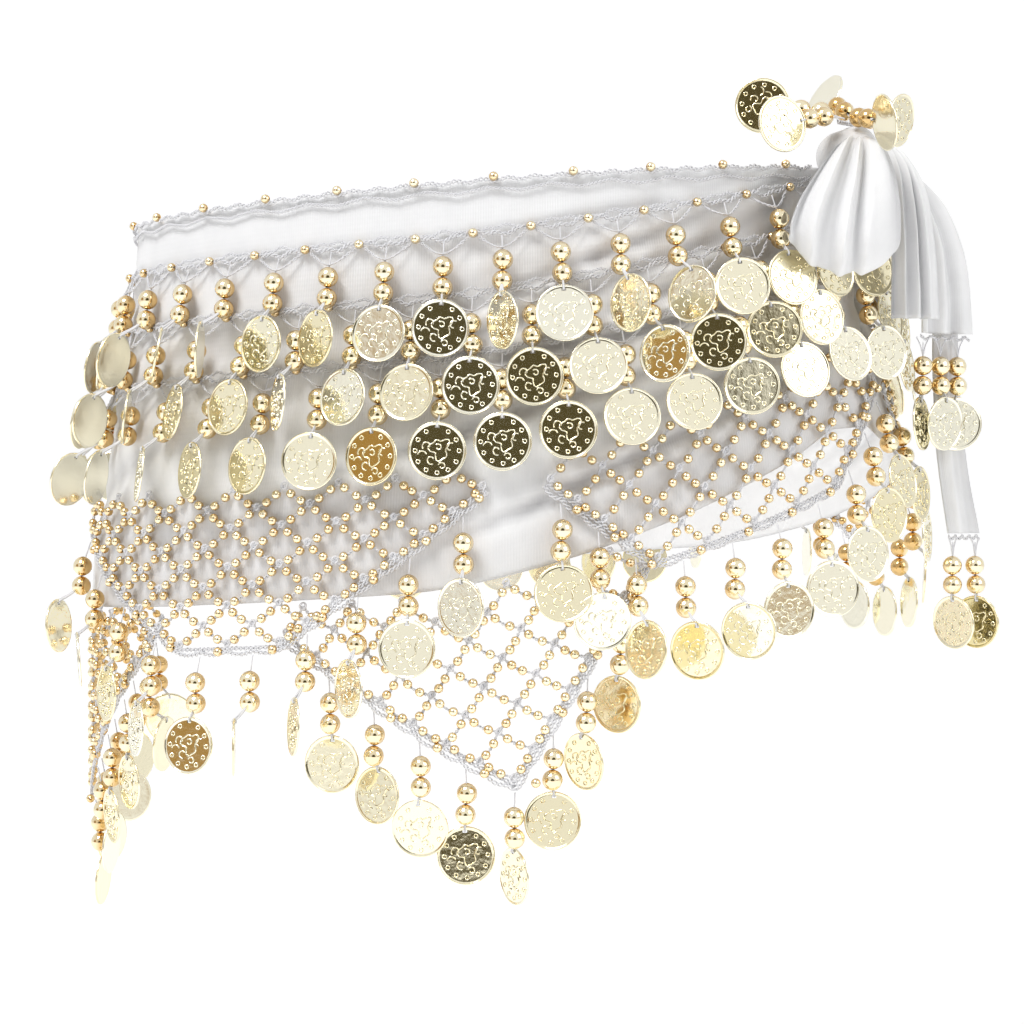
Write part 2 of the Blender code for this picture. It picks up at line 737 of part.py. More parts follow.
def hem_fringe(name, rows, danglers, material, collection):
    """Narrow backing under the hem of a tail, with its danglers."""
    along, out, up, half, depth, turn = rows[-1]
    angle = math.radians(turn)
    level = up - SEAM_GAP
    stations = []

    def at(part, away, drop):
        return knot_place(
            along + half * part * math.cos(angle) - away * math.sin(angle),
            out + half * part * math.sin(angle) + away * math.cos(angle),
            level - drop,
        )

    side = hip_tangent(KNOT_SHARE) * math.cos(angle) + hip_normal(KNOT_SHARE) * math.sin(angle)
    front = hip_normal(KNOT_SHARE) * math.cos(angle) - hip_tangent(KNOT_SHARE) * math.sin(angle)

    def hanger(part, degrees, standoff):
        spin = math.radians(degrees)

        def hang(shape, root):
            def place(below, away):
                return at(part, away, TRIM_HEIGHT + below)

            hang_dangler(shape, root, place, side, front, spin, 0.0, standoff)

        return hang

    lip = ROOT_HALF_WIDTH / half
    for part, degrees, standoff in ((-1.0, None, 0.0),) + danglers + ((1.0, None, 0.0),):
        top = at(part, 0.0, 0.0)
        inner = at(part, -0.0012, TRIM_HEIGHT)
        if degrees is None:
            stations.append((top, [at(part, 0.0012, TRIM_HEIGHT)], inner, None))
        else:
            outer = [at(part - lip, 0.0012, TRIM_HEIGHT), at(part + lip, 0.0012, TRIM_HEIGHT)]
            stations.append((top, outer, inner, hanger(part, degrees, standoff)))
    return trim_with_danglers(name, stations, material, collection)


def knot_coins(material, collection):
    """Coins and beads that stand round the top of the knot, on a short backing."""
    base = KNOT_CENTRE[2] + KNOT_HALF[2]
    out = KNOT_CENTRE[1]
    stations = []

    def hanger(start, direction, degrees):
        along_axis = hip_tangent(KNOT_SHARE)
        out_axis = hip_normal(KNOT_SHARE)
        level = along_axis * direction[0] + out_axis * direction[1]
        line = (level + Vector((0.0, 0.0, direction[2]))).normalized()
        front = Vector((0.0, 0.0, 1.0)).cross(line).normalized()
        if front.dot(out_axis) < 0.0:
            front = -front
        side = front.cross(line).normalized()

        def hang(shape, root):
            origin = knot_place(start, out, base + TRIM_HEIGHT)

            def place(below, away):
                rise = 0.0015 * (1.0 - math.exp(-below / 0.003))
                return origin + line * below + front * away + Vector((0.0, 0.0, rise))

            hang_dangler(shape, root, place, side, front, math.radians(degrees), 0.0, 0.0)

        return hang

    marks = [(-0.0090, None, None)]
    for start, along, away, up, degrees in KNOT_COINS:
        marks.append((start, (along, away, up), degrees))
    marks.append((0.0090, None, None))
    for start, direction, degrees in marks:
        top = knot_place(start, out, base)
        inner = knot_place(start, out - 0.0012, base + TRIM_HEIGHT)
        if direction is None:
            stations.append((top, [knot_place(start, out + 0.0012, base + TRIM_HEIGHT)], inner, None))
            continue
        outer = [
            knot_place(start - ROOT_HALF_WIDTH, out + 0.0012, base + TRIM_HEIGHT),
            knot_place(start + ROOT_HALF_WIDTH, out + 0.0012, base + TRIM_HEIGHT),
        ]
        stations.append((top, outer, inner, hanger(start, direction, degrees)))
    return trim_with_danglers("knot_coins", stations, material, collection)


def main():
    """Build every part of the belt."""
    for item in list(bpy.data.objects):
        bpy.data.objects.remove(item, do_unlink=True)
    collection = bpy.data.collections.new("coin_belt")
    bpy.context.scene.collection.children.link(collection)
    materials = {}
    for name, (colour, metallic, roughness) in MATERIALS.items():
        material = bpy.data.materials.new(name)
        material.use_nodes = True
        shader = material.node_tree.nodes["Principled BSDF"]
        shader.inputs["Base Color"].default_value = colour
        shader.inputs["Metallic"].default_value = metallic
        shader.inputs["Roughness"].default_value = roughness
        material.diffuse_color = colour
        materials[name] = material

    wrap(materials["chiffon"], collection)
    edge_trim(materials["crochet"], collection)
    for name, drop, count, start, turns in COIN_ROWS:
        coin_row(name, drop, count, start, turns, materials["gilt"], collection)
    for row in NETS:
        plan = NetPlan(row)
        net(plan, materials["crochet"], collection)
        net_edge(plan, materials["gilt"], collection)
    knot(materials["chiffon"], collection)
    pleated_sheet("bow_loop", loop_rows(), 12, 4.0, materials["chiffon"], collection)
    pleated_sheet("tail_front", TAIL_FRONT, 12, 3.0, materials["chiffon"], collection)
    pleated_sheet("tail_back", TAIL_BACK, 8, 2.0, materials["chiffon"], collection)
    pleated_sheet("tail_strip", TAIL_STRIP, 4, 1.0, materials["chiffon"], collection)
    hem_fringe("tail_back_fringe", TAIL_BACK, BACK_HEM, materials["gilt"], collection)
    hem_fringe("tail_strip_fringe", TAIL_STRIP, STRIP_HEM, materials["gilt"], collection)
    knot_coins(materials["gilt"], collection)


main()
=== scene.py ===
"""Looks of the coin belt: chiffon wrap, crochet trims and nets, gilt beads and coins, knot and tails.

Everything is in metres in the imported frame: +Z up, the front faces -Y and the knot sits on the +X side.
"""

from __future__ import annotations

import logging
import math
from collections.abc import Callable
from dataclasses import dataclass, field
from enum import Enum, IntEnum

import bpy
import numpy as np
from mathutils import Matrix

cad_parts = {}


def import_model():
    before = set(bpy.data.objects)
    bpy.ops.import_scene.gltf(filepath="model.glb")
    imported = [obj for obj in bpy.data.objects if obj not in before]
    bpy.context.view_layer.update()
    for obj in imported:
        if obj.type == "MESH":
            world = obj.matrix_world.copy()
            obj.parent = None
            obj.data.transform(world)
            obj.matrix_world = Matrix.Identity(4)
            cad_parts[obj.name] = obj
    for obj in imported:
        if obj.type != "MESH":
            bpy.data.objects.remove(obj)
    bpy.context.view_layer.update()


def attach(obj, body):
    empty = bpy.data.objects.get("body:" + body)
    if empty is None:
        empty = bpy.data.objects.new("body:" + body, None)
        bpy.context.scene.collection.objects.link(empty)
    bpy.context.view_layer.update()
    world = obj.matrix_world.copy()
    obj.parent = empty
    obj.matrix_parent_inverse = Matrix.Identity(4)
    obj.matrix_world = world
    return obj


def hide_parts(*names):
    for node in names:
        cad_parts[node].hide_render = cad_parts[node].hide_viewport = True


LOG = logging.getLogger("coin_belt")
BODY = "root"
UPWARD = np.array([0.0, 0.0, 1.0])
Colour = tuple[float, float, float]

# Height of the trims, danglers that fit round a coin row, half the width of a coin and how far it hangs
# outside its beads
TRIM_HEIGHT = 0.0036
ROW_STEPS = 37.0
COIN_HALF_WIDTH = 0.0104
COIN_AHEAD = 0.0037

# Turns in degrees of the coins of the fringes, and of the coin rows where they aren't seen
BACK_TURNS = (10, 36, 4, 58, 20, 8, 48, 14, 62, 6, 28)

# Where the belt is seen from, and the side of the studio that a coin mirrors dark
EYE = (0.0, -1.115, -0.028)
DARK_SIDE = (0.02, -1.0, 0.0)

# Colour sockets of Blender's mix node
MIX_FIRST, MIX_SECOND, MIX_RESULT = 6, 7, 2


class Tier(Enum):
    """Where a net hangs."""

    UPPER = "upper"
    LOWER = "lower"


class Mood(Enum):
    """What a coin that faces the camera mirrors."""

    DARK = "dark"
    PALE = "pale"


class Layer(IntEnum):
    """Order of the materials within a piece; cloth pieces have the first alone."""

    THREAD = 0
    BEAD = 1
    COIN = 2


class Slot(Enum):
    """Material slots of the record."""

    CHIFFON = "chiffon"
    CROCHET = "crochet"
    GILT = "gilt"


def unit(vectors: np.ndarray) -> np.ndarray:
    """Vectors scaled to length one along their last axis."""
    return vectors / np.maximum(np.linalg.norm(vectors, axis=-1, keepdims=True), 1e-12)


def ease(value: np.ndarray) -> np.ndarray:
    """Smooth step from 0 to 1."""
    value = np.clip(value, 0.0, 1.0)
    return value * value * (3.0 - 2.0 * value)


def smooth_rows(rows: np.ndarray, count: int) -> np.ndarray:
    """Run a smooth curve through the rows of a table.

    Args:
        rows: One row for each place along a piece.
        count: How many rows to give back.

    Returns:
        The rows in between, by a Catmull-Rom curve.
    """
    padded = np.vstack([2.0 * rows[0] - rows[1], rows, 2.0 * rows[-1] - rows[-2]])
    places = np.linspace(0.0, len(rows) - 1.000001, count)
    start = places.astype(int)
    part = (places - start)[:, None]
    before, near, far, beyond = (padded[start + step] for step in range(4))
    bend = 2 * before - 5 * near + 4 * far - beyond
    twist = 3 * near - before - 3 * far + beyond
    return 0.5 * (2.0 * near + (far - before) * part + bend * part**2 + twist * part**3)


@dataclass(frozen=True)
class HipForm:
    """Smooth form of the worn wrap, in the shares and drops that every piece is placed by."""

    half_width: float = 0.164
    half_depth: float = 0.110
    flare: float = 0.125
    top_height: float = 0.084
    tilt: float = 0.075
    wrap_drop: float = 0.168
    knot_share: float = 0.178
    gather_reach: float = 0.215
    round_length: float = 0.965

    def angle(self, share: np.ndarray) -> np.ndarray:
        """Angle from the front at a share of one turn.

        Args:
            share: Share of the way round, from the front towards the knot's side.

        Returns:
            The angle in radians.
        """
        angles = np.linspace(0.0, math.tau, 721)
        steps = np.hypot(self.half_width * np.diff(np.sin(angles)), self.half_depth * np.diff(np.cos(angles)))
        reached = np.concatenate([[0.0], np.cumsum(steps)])
        return np.interp(np.asarray(share, dtype=float) % 1.0, reached / reached[-1], angles)

    def normal(self, share: np.ndarray) -> np.ndarray:
        """Level direction out of the hips.

        Args:
            share: Share of the way round.

        Returns:
            One direction of length one for each share.
        """
        angle = self.angle(share)
        across, deep = np.sin(angle) / self.half_width, -np.cos(angle) / self.half_depth
        return unit(np.stack([across, deep, 0.0 * angle], axis=-1))

    def tangent(self, share: np.ndarray) -> np.ndarray:
        """Level direction round the hips, the way shares grow.

        Args:
            share: Share of the way round.

        Returns:
            One direction of length one for each share.
        """
        normal = self.normal(share)
        return np.stack([-normal[..., 1], normal[..., 0], 0.0 * normal[..., 0]], axis=-1)

    def point(self, share: np.ndarray, drop: np.ndarray, out: np.ndarray) -> np.ndarray:
        """Point at a drop below the top edge and a distance out of the smooth wrap.

        Args:
            share: Share of the way round.
            drop: Distance below the top edge.
            out: Distance out of the smooth wrap.

        Returns:
            The points, with the places' own shape and three values each.
        """
        share, drop, out = np.broadcast_arrays(*(np.asarray(value, float) for value in (share, drop, out)))
        angle = self.angle(share)
        spread = 1.0 + self.flare * ease(drop / self.wrap_drop)
        normal = self.normal(share)
        across = self.half_width * spread * np.sin(angle) + normal[..., 0] * out
        deep = -self.half_depth * spread * np.cos(angle) + normal[..., 1] * out
        return np.stack([across, deep, self.top_height - drop + self.tilt * across], axis=-1)

    def gather(self, share: np.ndarray) -> np.ndarray:
        """How far the cloth is drawn up: 1 at the knot and 0 away from it."""
        away = np.abs((np.asarray(share, float) - self.knot_share + 0.5) % 1.0 - 0.5)
        return np.minimum(1.0, 1.12 * np.maximum(0.0, 1.0 - away / self.gather_reach) ** 1.6)

    def gathered_drop(self, drop: np.ndarray, share: np.ndarray) -> np.ndarray:
        """Drop of a line of the wrap once it is drawn up towards the knot."""
        return drop - self.gather(share) * np.minimum(0.65 * drop, 0.015 + 0.27 * (drop - 0.023))

    def knot_place(self, along: np.ndarray, out: np.ndarray, up: np.ndarray) -> np.ndarray:
        """Point by distance along the hips, out of them and above the top edge at the knot.

        Args:
            along: Distance along the hips from the middle of the knot.
            out: Distance out of the hips.
            up: Height above the top edge.

        Returns:
            The points, with the places' own shape and three values each.
        """
        along, out, up = np.broadcast_arrays(*(np.asarray(value, float) for value in (along, out, up)))
        start = self.point(self.knot_share, 0.0, 0.0)
        sideways = self.tangent(self.knot_share)
        outward = self.normal(self.knot_share)
        return start + sideways * along[..., None] + outward * out[..., None] + UPWARD * up[..., None]


@dataclass(frozen=True)
class Twist:
    """Two strands twisted together: their radius, how far they stand apart and the length of a turn."""

    radius: float
    spread: float
    pitch: float


@dataclass
class Template:
    """A small mesh that is stamped many times, with a painted shade for all or for each of its points."""

    points: np.ndarray
    faces: list[np.ndarray]
    shade: np.ndarray | float = 0.0


class Sheaf:
    """Points and faces gathered for one joined mesh."""

    def __init__(self) -> None:
        """Start empty."""
        self.points: list[np.ndarray] = []
        self.tones: list[np.ndarray] = []
        self.faces: list[tuple[np.ndarray, int]] = []
        self.uvs: list[np.ndarray] = []
        self.count = 0

    def add(self, points: np.ndarray, faces: list[np.ndarray], slot: int, tone: float | np.ndarray = 0.5,
            uv: np.ndarray | None = None) -> None:
        """Add a mesh.

        Args:
            points: Its points, one row each.
            faces: Arrays of three or four point numbers a row.
            slot: Number of its material.
            tone: Shade of its finish, from 0 to 1, for all or for each of its points.
            uv: Flat place of each point, where its weave follows the cloth.
        """
        for face in faces:
            if len(face):
                self.faces.append((face + self.count, slot))
        self.points.append(points)
        self.tones.append(np.full(len(points), tone))
        self.uvs.append(np.zeros((len(points), 2)) if uv is None else uv)
        self.count += len(points)

    def stamp(self, template: Template, origins: np.ndarray, axes: np.ndarray, slot: int,
              tones: np.ndarray | None = None) -> None:
        """Add a copy of a template at each origin.

        Args:
            template: The mesh to repeat.
            origins: One place for each copy.
            axes: Three directions for each copy, as rows.
            slot: Number of its material.
            tones: Shade of each copy.
        """
        placed = origins[:, None, :] + np.einsum("mj,njk->nmk", template.points, axes)
        for index, points in enumerate(placed):
            tone = 0.5 if tones is None else float(tones[index])
            # The template's painted shade is added to each copy's tone.
            self.add(points, template.faces, slot, np.clip(tone + template.shade, 0.0, 1.0))

    def tubes(self, paths: np.ndarray, facing: np.ndarray, radius: float, sides: int, slot: int,
              closed: bool = False) -> None:
        """Add a thin tube along each path.

        Args:
            paths: Points of each path, as paths by points by three.
            facing: A direction off each path, of the same shape or one for each path.
            radius: Radius of the tubes.
            sides: Sides of the tubes.
            slot: Number of the material.
            closed: Whether each path comes back to its start.
        """
        paths = np.asarray(paths, float)
        count, length, _ = paths.shape
        facing = np.broadcast_to(facing if facing.ndim == 3 else facing[:, None, :], paths.shape)
        if closed:
            ahead = unit(np.roll(paths, -1, axis=1) - np.roll(paths, 1, axis=1))
        else:
            ahead = unit(np.gradient(paths, axis=1))
        sideways = unit(np.cross(ahead, facing))
        upward = np.cross(sideways, ahead)
        turns = np.arange(sides) * math.tau / sides
        ring = (sideways[:, :, None, :] * np.cos(turns)[None, None, :, None]
                + upward[:, :, None, :] * np.sin(turns)[None, None, :, None])
        points = (paths[:, :, None, :] + radius * ring).reshape(-1, 3)
        steps = np.arange(length if closed else length - 1)
        side = np.arange(sides)
        here = steps[:, None] * sides + side[None, :]
        there = ((steps + 1) % length)[:, None] * sides + side[None, :]
        after = (side + 1) % sides
        quads = np.stack([
            here, steps[:, None] * sides + after[None, :],
            ((steps + 1) % length)[:, None] * sides + after[None, :], there,
        ], axis=-1).reshape(-1, 4)
        shifts = (np.arange(count) * length * sides)[:, None, None]
        self.add(points, [(quads[None, :, :] + shifts).reshape(-1, 4)], slot)

    def cords(self, paths: np.ndarray, facing: np.ndarray, twist: Twist) -> None:
        """Add two three-sided strands of thread twisted round each path, as in crochet chain.

        Args:
            paths: Points of each path, as paths by points by three.
            facing: A direction off each path, of the same shape or one for each path.
            twist: How the strands are twisted.
        """
        paths = np.asarray(paths, float)
        facing = np.broadcast_to(facing if facing.ndim == 3 else facing[:, None, :], paths.shape)
        ahead = unit(np.gradient(paths, axis=1))
        sideways = unit(np.cross(ahead, facing))
        upward = np.cross(sideways, ahead)
        steps = np.linalg.norm(np.diff(paths, axis=1), axis=-1)
        reached = np.concatenate([np.zeros((len(paths), 1)), np.cumsum(steps, axis=1)], axis=1)
        phase = (reached / twist.pitch * math.tau)[:, :, None]
        swing = sideways * np.cos(phase) + 0.6 * upward * np.sin(phase)
        for spread in (twist.spread, -twist.spread):
            self.tubes(paths + spread * swing, facing, twist.radius, 3, Layer.THREAD)

    def to_piece(self, name: str, materials: list[bpy.types.Material]) -> bpy.types.Object:
        """Make the joined mesh.

        Args:
            name: Name of the piece.
            materials: Materials in the order of the slot numbers.

        Returns:
            The new piece, linked into the scene.
        """
        mesh = bpy.data.meshes.new(name)
        points = np.vstack(self.points)
        mesh.vertices.add(len(points))
        mesh.vertices.foreach_set("co", points.astype(np.float32).ravel())
        corners = np.concatenate([face.ravel() for face, _ in self.faces])
        sizes = np.concatenate([np.full(len(face), face.shape[1]) for face, _ in self.faces])
        slots = np.concatenate([np.full(len(face), slot) for face, slot in self.faces])
        mesh.loops.add(len(corners))
        mesh.loops.foreach_set("vertex_index", corners.astype(np.int32))
        mesh.polygons.add(len(sizes))
        starts = np.concatenate([[0], np.cumsum(sizes)[:-1]])
        mesh.polygons.foreach_set("loop_start", starts.astype(np.int32))
        mesh.polygons.foreach_set("material_index", slots.astype(np.int32))
        mesh.polygons.foreach_set("use_smooth", np.ones(len(sizes), dtype=bool))
        mesh.update(calc_edges=True)
        mesh.validate()
        tone = mesh.attributes.new("tone", "FLOAT", "POINT")
        tone.data.foreach_set("value", np.concatenate(self.tones).astype(np.float32))
        layer = mesh.uv_layers.new(name="cloth")
        flat = np.vstack(self.uvs)[corners]
        if len(layer.data) == len(flat):
            layer.data.foreach_set("uv", flat.astype(np.float32).ravel())
        for material in materials:
            mesh.materials.append(material)
        piece = bpy.data.objects.new(name, mesh)
        bpy.context.scene.collection.objects.link(piece)
        return piece


def ring_pairs(rings: int, around: int) -> tuple[np.ndarray, np.ndarray]:
    """Number the points of closed rings that follow one another.

    Args:
        rings: How many rings there are.
        around: Points in a ring.

    Returns:
        For all rings but the last, each point's number and that of the next point of its ring.
    """
    first = np.arange(rings - 1)[:, None] * around
    step = np.arange(around)[None, :]
    return first + step, first + (step + 1) % around


def ball(radius: float, around: int, levels: int, hole: float = 0.0) -> Template:
    """A round bead.

    Args:
        radius: Radius of the bead.
        around: Faces round it.
        levels: Rings from top to bottom.
        hole: Share of a half turn left open at each end for the thread.

    Returns:
        The bead as a template, with its front along the second local axis, its thread along the third, and
        painted shade towards its rim.
    """
    tilts = np.linspace(math.pi * hole, math.pi * (1.0 - hole), levels)
    turns = np.arange(around) * math.tau / around
    tilt, turn = np.meshgrid(tilts, turns, indexing="ij")
    round_part = np.sin(tilt)
    points = radius * np.stack([round_part * np.cos(turn), round_part * np.sin(turn), np.cos(tilt)], axis=-1)
    here, after = ring_pairs(levels, around)
    quads = np.stack([here, after, after + around, here + around], axis=-1).reshape(-1, 4)
    flat = points.reshape(-1, 3)
    # Painted shade: the bead darkens towards its rim away from its front, and a little towards one end of its
    # thread.
    away = np.clip((0.72 - flat[:, 1] / radius) / 0.72, 0.0, 1.0) ** 1.3
    return Template(flat, [quads[:, ::-1]], 0.85 * away + 0.10 * np.clip(-flat[:, 2] / radius, 0.0, 1.0))


@dataclass(frozen=True)
class Coin:
    """Thin stamped coin: raised rim, a ring of small circles and a curling ornament."""

    radius: float = 0.0120
    half_thickness: float = 0.00032
    around: int = 32
    circle_ring: float = 0.0089
    circle_radius: float = 0.00088
    circle_points: int = 7
    circles: int = 11
    ornament: float = 1.22
    ridge: float = 0.00006

    def disc(self) -> Template:
        """Plate with its rim and the hole for the thread.

        Returns:
            The plate, facing its second local axis.
        """
        thick = self.half_thickness
        profile = (
            (0.05, thick), (0.40, thick), (0.70, thick), (0.775, thick), (0.865, thick), (0.930, thick),
            (0.945, thick + 0.00020), (0.968, thick + 0.00026), (0.990, thick + 0.00012), (1.0, 0.0),
            (0.990, -thick), (0.930, -thick - 0.0001), (0.865, -thick), (0.775, -thick), (0.05, -thick),
        )
        rings = np.array(profile)
        turns = (np.arange(self.around) + 0.5) * math.tau / self.around
        share, turn = np.meshgrid(rings[:, 0], turns, indexing="ij")
        rise = np.repeat(rings[:, 1][:, None], self.around, axis=1)
        reach = share * self.radius
        points = np.stack([reach * np.sin(turn), rise, reach * np.cos(turn)], axis=-1)
        here, after = ring_pairs(len(rings), self.around)
        quads = np.stack([here, here + self.around, after + self.around, after], axis=-1)
        keep = np.ones(quads.shape[:2], dtype=bool)
        for ring_of_hole in (3, 12):
            keep[ring_of_hole, self.around - 1] = False
        caps = [np.arange(self.around), (len(rings) - 1) * self.around + np.arange(self.around)]
        centre_front = np.array([[0.0, thick, 0.0]])
        centre_back = np.array([[0.0, -thick, 0.0]])
        total = len(rings) * self.around
        front = np.stack([np.full(self.around, total), caps[0], np.roll(caps[0], -1)], axis=-1)
        back = np.stack([np.full(self.around, total + 1), np.roll(caps[1], -1), caps[1]], axis=-1)
        flat = np.vstack([points.reshape(-1, 3), centre_front, centre_back])
        return Template(flat, [quads[keep].reshape(-1, 4), front, back])

    def lines(self) -> list[np.ndarray]:
        """Raised lines of the ornament.

        Returns:
            Flat paths: a leaf that comes back to its start, and then the curls.
        """
        turn = np.linspace(0.0, math.tau, 27)[:-1]
        reach = 0.0030 + 0.0007 * np.sin(3.0 * turn + 0.6) + 0.0005 * np.cos(5.0 * turn)
        leaf = np.stack([reach * np.cos(turn) - 0.0008, 1.15 * reach * np.sin(turn) + 0.0006], axis=-1)
        curl = np.linspace(0.0, 1.0, 15)
        lines = [leaf]
        for across, up, first, swing, size in (
            (0.0034, 0.0016, -0.6, 4.2, 0.0017), (-0.0044, 0.0012, 2.2, -3.9, 0.0015),
            (0.0020, -0.0030, -1.9, 4.6, 0.0016), (-0.0016, -0.0050, 0.3, 5.6, 0.0013),
            (-0.0004, 0.0012, 0.8, 5.2, 0.0012), (0.0046, -0.0016, 0.2, 2.6, 0.0020),
        ):
            heading = first + swing * curl
            grow = size * (1.0 - 0.45 * curl)
            lines.append(np.stack([across + grow * np.cos(heading), up + grow * np.sin(heading)], axis=-1))
        return lines

    def template(self) -> Template:
        """Whole coin, facing its second local axis with the hole at the top.

        Returns:
            The coin as one mesh to stamp.
        """
        work = Sheaf()
        disc = self.disc()
        work.add(disc.points, disc.faces, 0)
        facing = np.array([[0.0, 1.0, 0.0]])
        level = self.half_thickness + self.ridge
        turn = np.linspace(0.0, math.tau, self.circle_points + 1)[:-1]
        rings = []
        for index in range(self.circles):
            place = math.tau * (index + 1.0) / (self.circles + 1.0)
            centre = self.circle_ring * np.array([math.sin(place), math.cos(place)])
            rings.append(np.stack([
                centre[0] + self.circle_radius * np.cos(turn), np.full(self.circle_points, level),
                centre[1] + self.circle_radius * np.sin(turn),
            ], axis=-1))
        work.tubes(np.array(rings), facing, 0.00030, 3, 0, closed=True)
        for order, line in enumerate(self.lines()):
            line = self.ornament * line
            path = np.stack([line[:, 0], np.full(len(line), level), line[:, 1]], axis=-1)
            work.tubes(path[None], facing, 0.00036, 3, 0, closed=order == 0)
        return Template(np.vstack(work.points), [face for face, _ in work.faces])


@dataclass(frozen=True)
class Finish:
    """Base of the finishes: a named material with a Principled shader."""

    name: str

    def start(self) -> tuple[bpy.types.Material, bpy.types.NodeTree, bpy.types.Node]:
        """New material with its tree and shader.

        Returns:
            The material, its node tree and the shader.
        """
        material = bpy.data.materials.new(self.name)
        material.use_nodes = True
        tree = material.node_tree
        return material, tree, tree.nodes["Principled BSDF"]


def calculate(tree: bpy.types.NodeTree, operation: str, first: bpy.types.NodeSocket,
              second: bpy.types.NodeSocket | float | None = None) -> bpy.types.NodeSocket:
    """Work out a value from one or two others.

    Args:
        tree: Tree that gets the math node.
        operation: What the node does.
        first: Socket of its first value.
        second: Socket or number of its second value.

    Returns:
        The socket of the result.
    """
    node = tree.nodes.new("ShaderNodeMath")
    node.operation = operation
    tree.links.new(first, node.inputs[0])
    if isinstance(second, bpy.types.NodeSocket):
        tree.links.new(second, node.inputs[1])
    elif second is not None:
        node.inputs[1].default_value = second
    return node.outputs[0]


def mix_colours(tree: bpy.types.NodeTree, factor: bpy.types.NodeSocket, first: Colour | bpy.types.NodeSocket,
                second: Colour | bpy.types.NodeSocket) -> bpy.types.NodeSocket:
    """Mix two colours.

    Args:
        tree: Tree that gets the mix node.
        factor: Socket of the second colour's share.
        first: Colour or socket where the factor is 0.
        second: Colour or socket where the factor is 1.

    Returns:
        The socket of the mixed colour.
    """
    mix = tree.nodes.new("ShaderNodeMix")
    mix.data_type = "RGBA"
    tree.links.new(factor, mix.inputs["Factor"])
    for place, colour in ((MIX_FIRST, first), (MIX_SECOND, second)):
        if isinstance(colour, bpy.types.NodeSocket):
            tree.links.new(colour, mix.inputs[place])
        else:
            mix.inputs[place].default_value = (*colour, 1.0)
    return mix.outputs[MIX_RESULT]


def place_group(tree: bpy.types.NodeTree, group: bpy.types.NodeTree,
                values: dict[str, float]) -> bpy.types.Node:
    """Put an effect group into a material.

    Args:
        tree: Tree of the material.
        group: The effect.
        values: The material's own value for each named input.

    Returns:
        The group node.
    """
    node = tree.nodes.new("ShaderNodeGroup")
    node.node_tree = group
    for label, value in values.items():
        node.inputs[label].default_value = value
    return node


def add_bump(tree: bpy.types.NodeTree, height: bpy.types.NodeSocket, strength: float,
             distance: float) -> None:
    """Raise the shader's surface by a height.

    Args:
        tree: Tree of the material.
        height: Socket of the height.
        strength: Strength of the bump.
        distance: Size of a full step of height in metres.
    """
    bump = tree.nodes.new("ShaderNodeBump")
    bump.inputs["Strength"].default_value = strength
    bump.inputs["Distance"].default_value = distance
    tree.links.new(height, bump.inputs["Height"])
    tree.links.new(bump.outputs["Normal"], tree.nodes["Principled BSDF"].inputs["Normal"])


class EffectGroups:
    """Shader node groups that the finishes use."""

    @staticmethod
    def new(name: str, inputs: dict[str, float], outputs: tuple[str, ...]) -> bpy.types.NodeTree:
        """Empty group with named float inputs and outputs.

        Args:
            name: Name of the group.
            inputs: Default value of each input.
            outputs: Name of each output.

        Returns:
            The group, with its input and output nodes placed.
        """
        group = bpy.data.node_groups.new(name, "ShaderNodeTree")
        for label, value in inputs.items():
            socket = group.interface.new_socket(name=label, in_out="INPUT", socket_type="NodeSocketFloat")
            socket.default_value = value
        for label in outputs:
            group.interface.new_socket(name=label, in_out="OUTPUT", socket_type="NodeSocketFloat")
        group.nodes.new("NodeGroupInput")
        group.nodes.new("NodeGroupOutput")
        return group

    @classmethod
    def rib(cls) -> bpy.types.NodeTree:
        """Fine upright ribs and cross rows of the knit, from the flat place of the cloth.

        Returns:
            The group, with a height and a mask for uneven knitting.
        """
        group = cls.new("KnitRib", {"Ribs per metre": 900.0, "Unevenness": 0.3}, ("Height", "Mask"))
        nodes, links = group.nodes, group.links
        entry, exit_node = nodes["Group Input"], nodes["Group Output"]
        flat = nodes.new("ShaderNodeUVMap")
        flat.uv_map = "cloth"
        split = nodes.new("ShaderNodeSeparateXYZ")
        links.new(flat.outputs["UV"], split.inputs[0])
        heights = []
        for axis, share in (("X", 1.0), ("Y", 0.55)):
            scaled = calculate(group, "MULTIPLY", split.outputs[axis], entry.outputs["Ribs per metre"])
            heights.append(calculate(group, "SINE", calculate(group, "MULTIPLY", scaled, math.tau * share)))
        total = calculate(group, "ADD", heights[0], calculate(group, "MULTIPLY", heights[1], 0.35))
        noise = nodes.new("ShaderNodeTexNoise")
        noise.inputs["Scale"].default_value = 90.0
        links.new(flat.outputs["UV"], noise.inputs["Vector"])
        uneven = calculate(group, "MULTIPLY", noise.outputs["Fac"], entry.outputs["Unevenness"])
        links.new(calculate(group, "ADD", total, uneven), exit_node.inputs["Height"])
        links.new(noise.outputs["Fac"], exit_node.inputs["Mask"])
        return group

    @classmethod
    def dents(cls) -> bpy.types.NodeTree:
        """Soft dents of thin stamped metal, or the fibres of thread where they are fine.

        Returns:
            The group, with a height and a mask for thin plating.
        """
        group = cls.new("SoftDents", {"Size per metre": 260.0, "Detail per metre": 900.0}, ("Height", "Mask"))
        nodes, links = group.nodes, group.links
        entry, exit_node = nodes["Group Input"], nodes["Group Output"]
        place = nodes.new("ShaderNodeTexCoord")
        noises = []
        for label, detail in (("Size per metre", 1.0), ("Detail per metre", 2.0)):
            noise = nodes.new("ShaderNodeTexNoise")
            noise.inputs["Detail"].default_value = detail
            links.new(place.outputs["Object"], noise.inputs["Vector"])
            links.new(entry.outputs[label], noise.inputs["Scale"])
            noises.append(noise.outputs["Fac"])
        broad, fine = noises
        height = calculate(group, "ADD", broad, calculate(group, "MULTIPLY", fine, 0.25))
        links.new(height, exit_node.inputs["Height"])
        links.new(fine, exit_node.inputs["Mask"])
        return group


